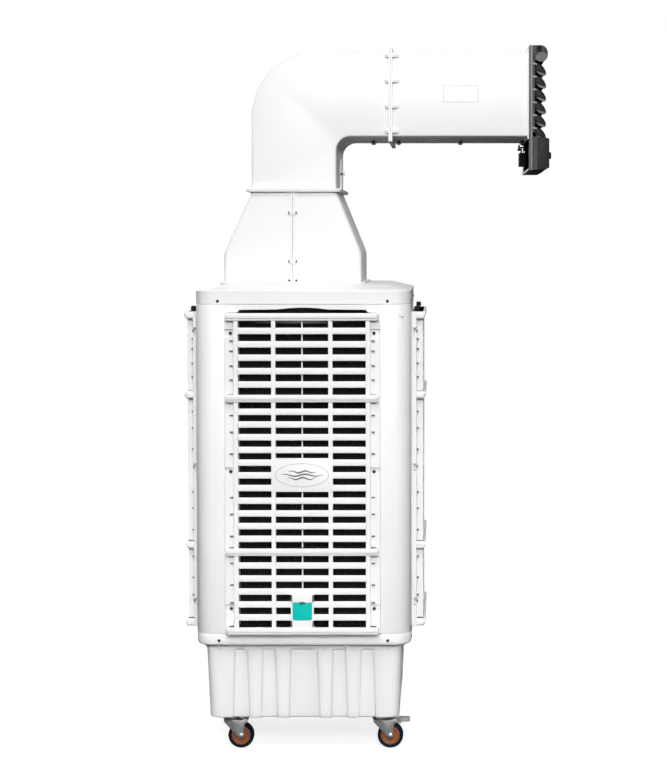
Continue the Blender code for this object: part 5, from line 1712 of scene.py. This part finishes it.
# Floor, lights and camera
def floor_look():
    """Pale matt floor with a barely visible mottle."""
    made = Surface("pale_floor")
    place = made.place()
    mottle = made.noise(place, 6.0, 4.0)
    made.put("Base Color", made.mix(made.remap(mottle, 0, 1), (0.44, 0.44, 0.44, 1), (0.47, 0.47, 0.47, 1)))
    made.put("Roughness", made.remap(mottle, 0.85, 0.95))
    made.shader.inputs["Emission Color"].default_value = (1, 1, 1, 1)
    made.shader.inputs["Emission Strength"].default_value = 0.76
    made.bump(made.noise(place, 300.0), 0.05, 0.0004)
    return made.material


def floor():
    shape = bmesh.new()
    skin(shape, [flat("z", rounded(9.0, 9.0, 3.0, 12, (0, 4.0)), height)
                 for height in (-0.02, -0.0005)])
    mesh = mesh_of(shape)
    mesh.materials.append(floor_look())
    obj = bpy.data.objects.new("floor", mesh)
    bpy.context.collection.objects.link(obj)
    obj.visible_diffuse = False
    obj.visible_glossy = False


def world():
    """White to the camera; to the object a soft studio: bright above, before and behind, darker beside."""
    made = bpy.data.worlds.new("studio")
    made.use_nodes = True
    tree = made.node_tree
    nodes = tree.nodes
    back = nodes["Background"]
    where = nodes.new("ShaderNodeTexCoord").outputs["Generated"]
    parts = nodes.new("ShaderNodeSeparateXYZ")
    tree.links.new(where, parts.inputs[0])

    def ramp(value, stops):
        made_ramp = nodes.new("ShaderNodeValToRGB")
        tree.links.new(value, made_ramp.inputs[0])
        elements = made_ramp.color_ramp.elements
        while len(elements) < len(stops):
            elements.new(0.5)
        for element, (spot, level) in zip(elements, stops):
            element.position = spot
            element.color = (level, level, level, 1)
        return made_ramp.outputs[0]

    def unit(value):
        """From -1..1 to 0..1."""
        add = nodes.new("ShaderNodeMapRange")
        tree.links.new(value, add.inputs["Value"])
        add.inputs["From Min"].default_value = -1
        return add.outputs["Result"]

    height = ramp(unit(parts.outputs["Z"]), SKY_BY_HEIGHT)
    front = ramp(unit(parts.outputs["Y"]), SKY_BY_DEPTH)
    both = nodes.new("ShaderNodeMix")
    both.data_type = "RGBA"
    both.blend_type = "MULTIPLY"
    sockets = [s for s in both.inputs if s.enabled]
    sockets[0].default_value = 1.0
    tree.links.new(height, sockets[1])
    tree.links.new(front, sockets[2])
    tree.links.new([s for s in both.outputs if s.enabled][0], back.inputs["Color"])
    back.inputs["Strength"].default_value = SKY_STRENGTH
    plain = nodes.new("ShaderNodeBackground")
    plain.inputs["Color"].default_value = (1, 1, 1, 1)
    path = nodes.new("ShaderNodeLightPath")
    choose = nodes.new("ShaderNodeMixShader")
    tree.links.new(path.outputs["Is Camera Ray"], choose.inputs[0])
    tree.links.new(back.outputs[0], choose.inputs[1])
    tree.links.new(plain.outputs[0], choose.inputs[2])
    tree.links.new(choose.outputs[0], nodes["World Output"].inputs["Surface"])
    bpy.context.scene.world = made


# (share of the way from below to above, level) and (share from front to behind, level)
SKY_BY_HEIGHT = ((0.0, 0.03), (0.46, 0.06), (0.56, 0.62), (0.75, 0.98), (1.0, 1.0))
SKY_BY_DEPTH = ((0.0, 1.0), (0.22, 0.92), (0.44, 0.36), (0.64, 0.36), (1.0, 1.0))
SKY_STRENGTH = 0.88


def area_light(name, spot, aim, size, watts, spread=180):
    light = bpy.data.lights.new(name, "AREA")
    light.shape = "RECTANGLE"
    light.size, light.size_y = size
    light.energy = watts
    light.spread = math.radians(spread)
    obj = bpy.data.objects.new(name, light)
    bpy.context.collection.objects.link(obj)
    obj.location = HOME @ Vector(spot)
    obj.rotation_euler = (Vector(aim) - Vector(spot)).to_track_quat("-Z", "Y").to_euler()


def camera():
    """Before the cabinet's front, above its middle and tilted slightly down."""
    data = bpy.data.cameras.new("camera")
    data.lens = 88.62
    data.sensor_width = 36.0
    data.sensor_fit = "AUTO"
    data.shift_x = -0.1376
    data.shift_y = -0.096
    obj = bpy.data.objects.new("camera", data)
    bpy.context.collection.objects.link(obj)
    obj.location = HOME @ Vector((0.3919, -5.7330, 1.4826))
    obj.rotation_euler = (math.radians(90 - 2.188), 0, 0)
    bpy.context.scene.camera = obj


floor()
world()
area_light("key", (0.40, -6.4, 3.3), (0.1, 0, 0.9), (1.8, 1.0), 200)
area_light("back", (-2.4, 5.8, 2.6), (0.0, 0, 1.0), (2.4, 1.6), 110)
area_light("top", (0.2, -5.0, 6.2), (0.1, 0, 0.9), (2.2, 1.2), 110)
area_light("fill", (0.9, -5.6, 1.9), (0.0, -0.3, 0.0), (1.6, 1.0), 3.0, 30)
camera()
bpy.context.scene.view_settings.view_transform = "Standard"
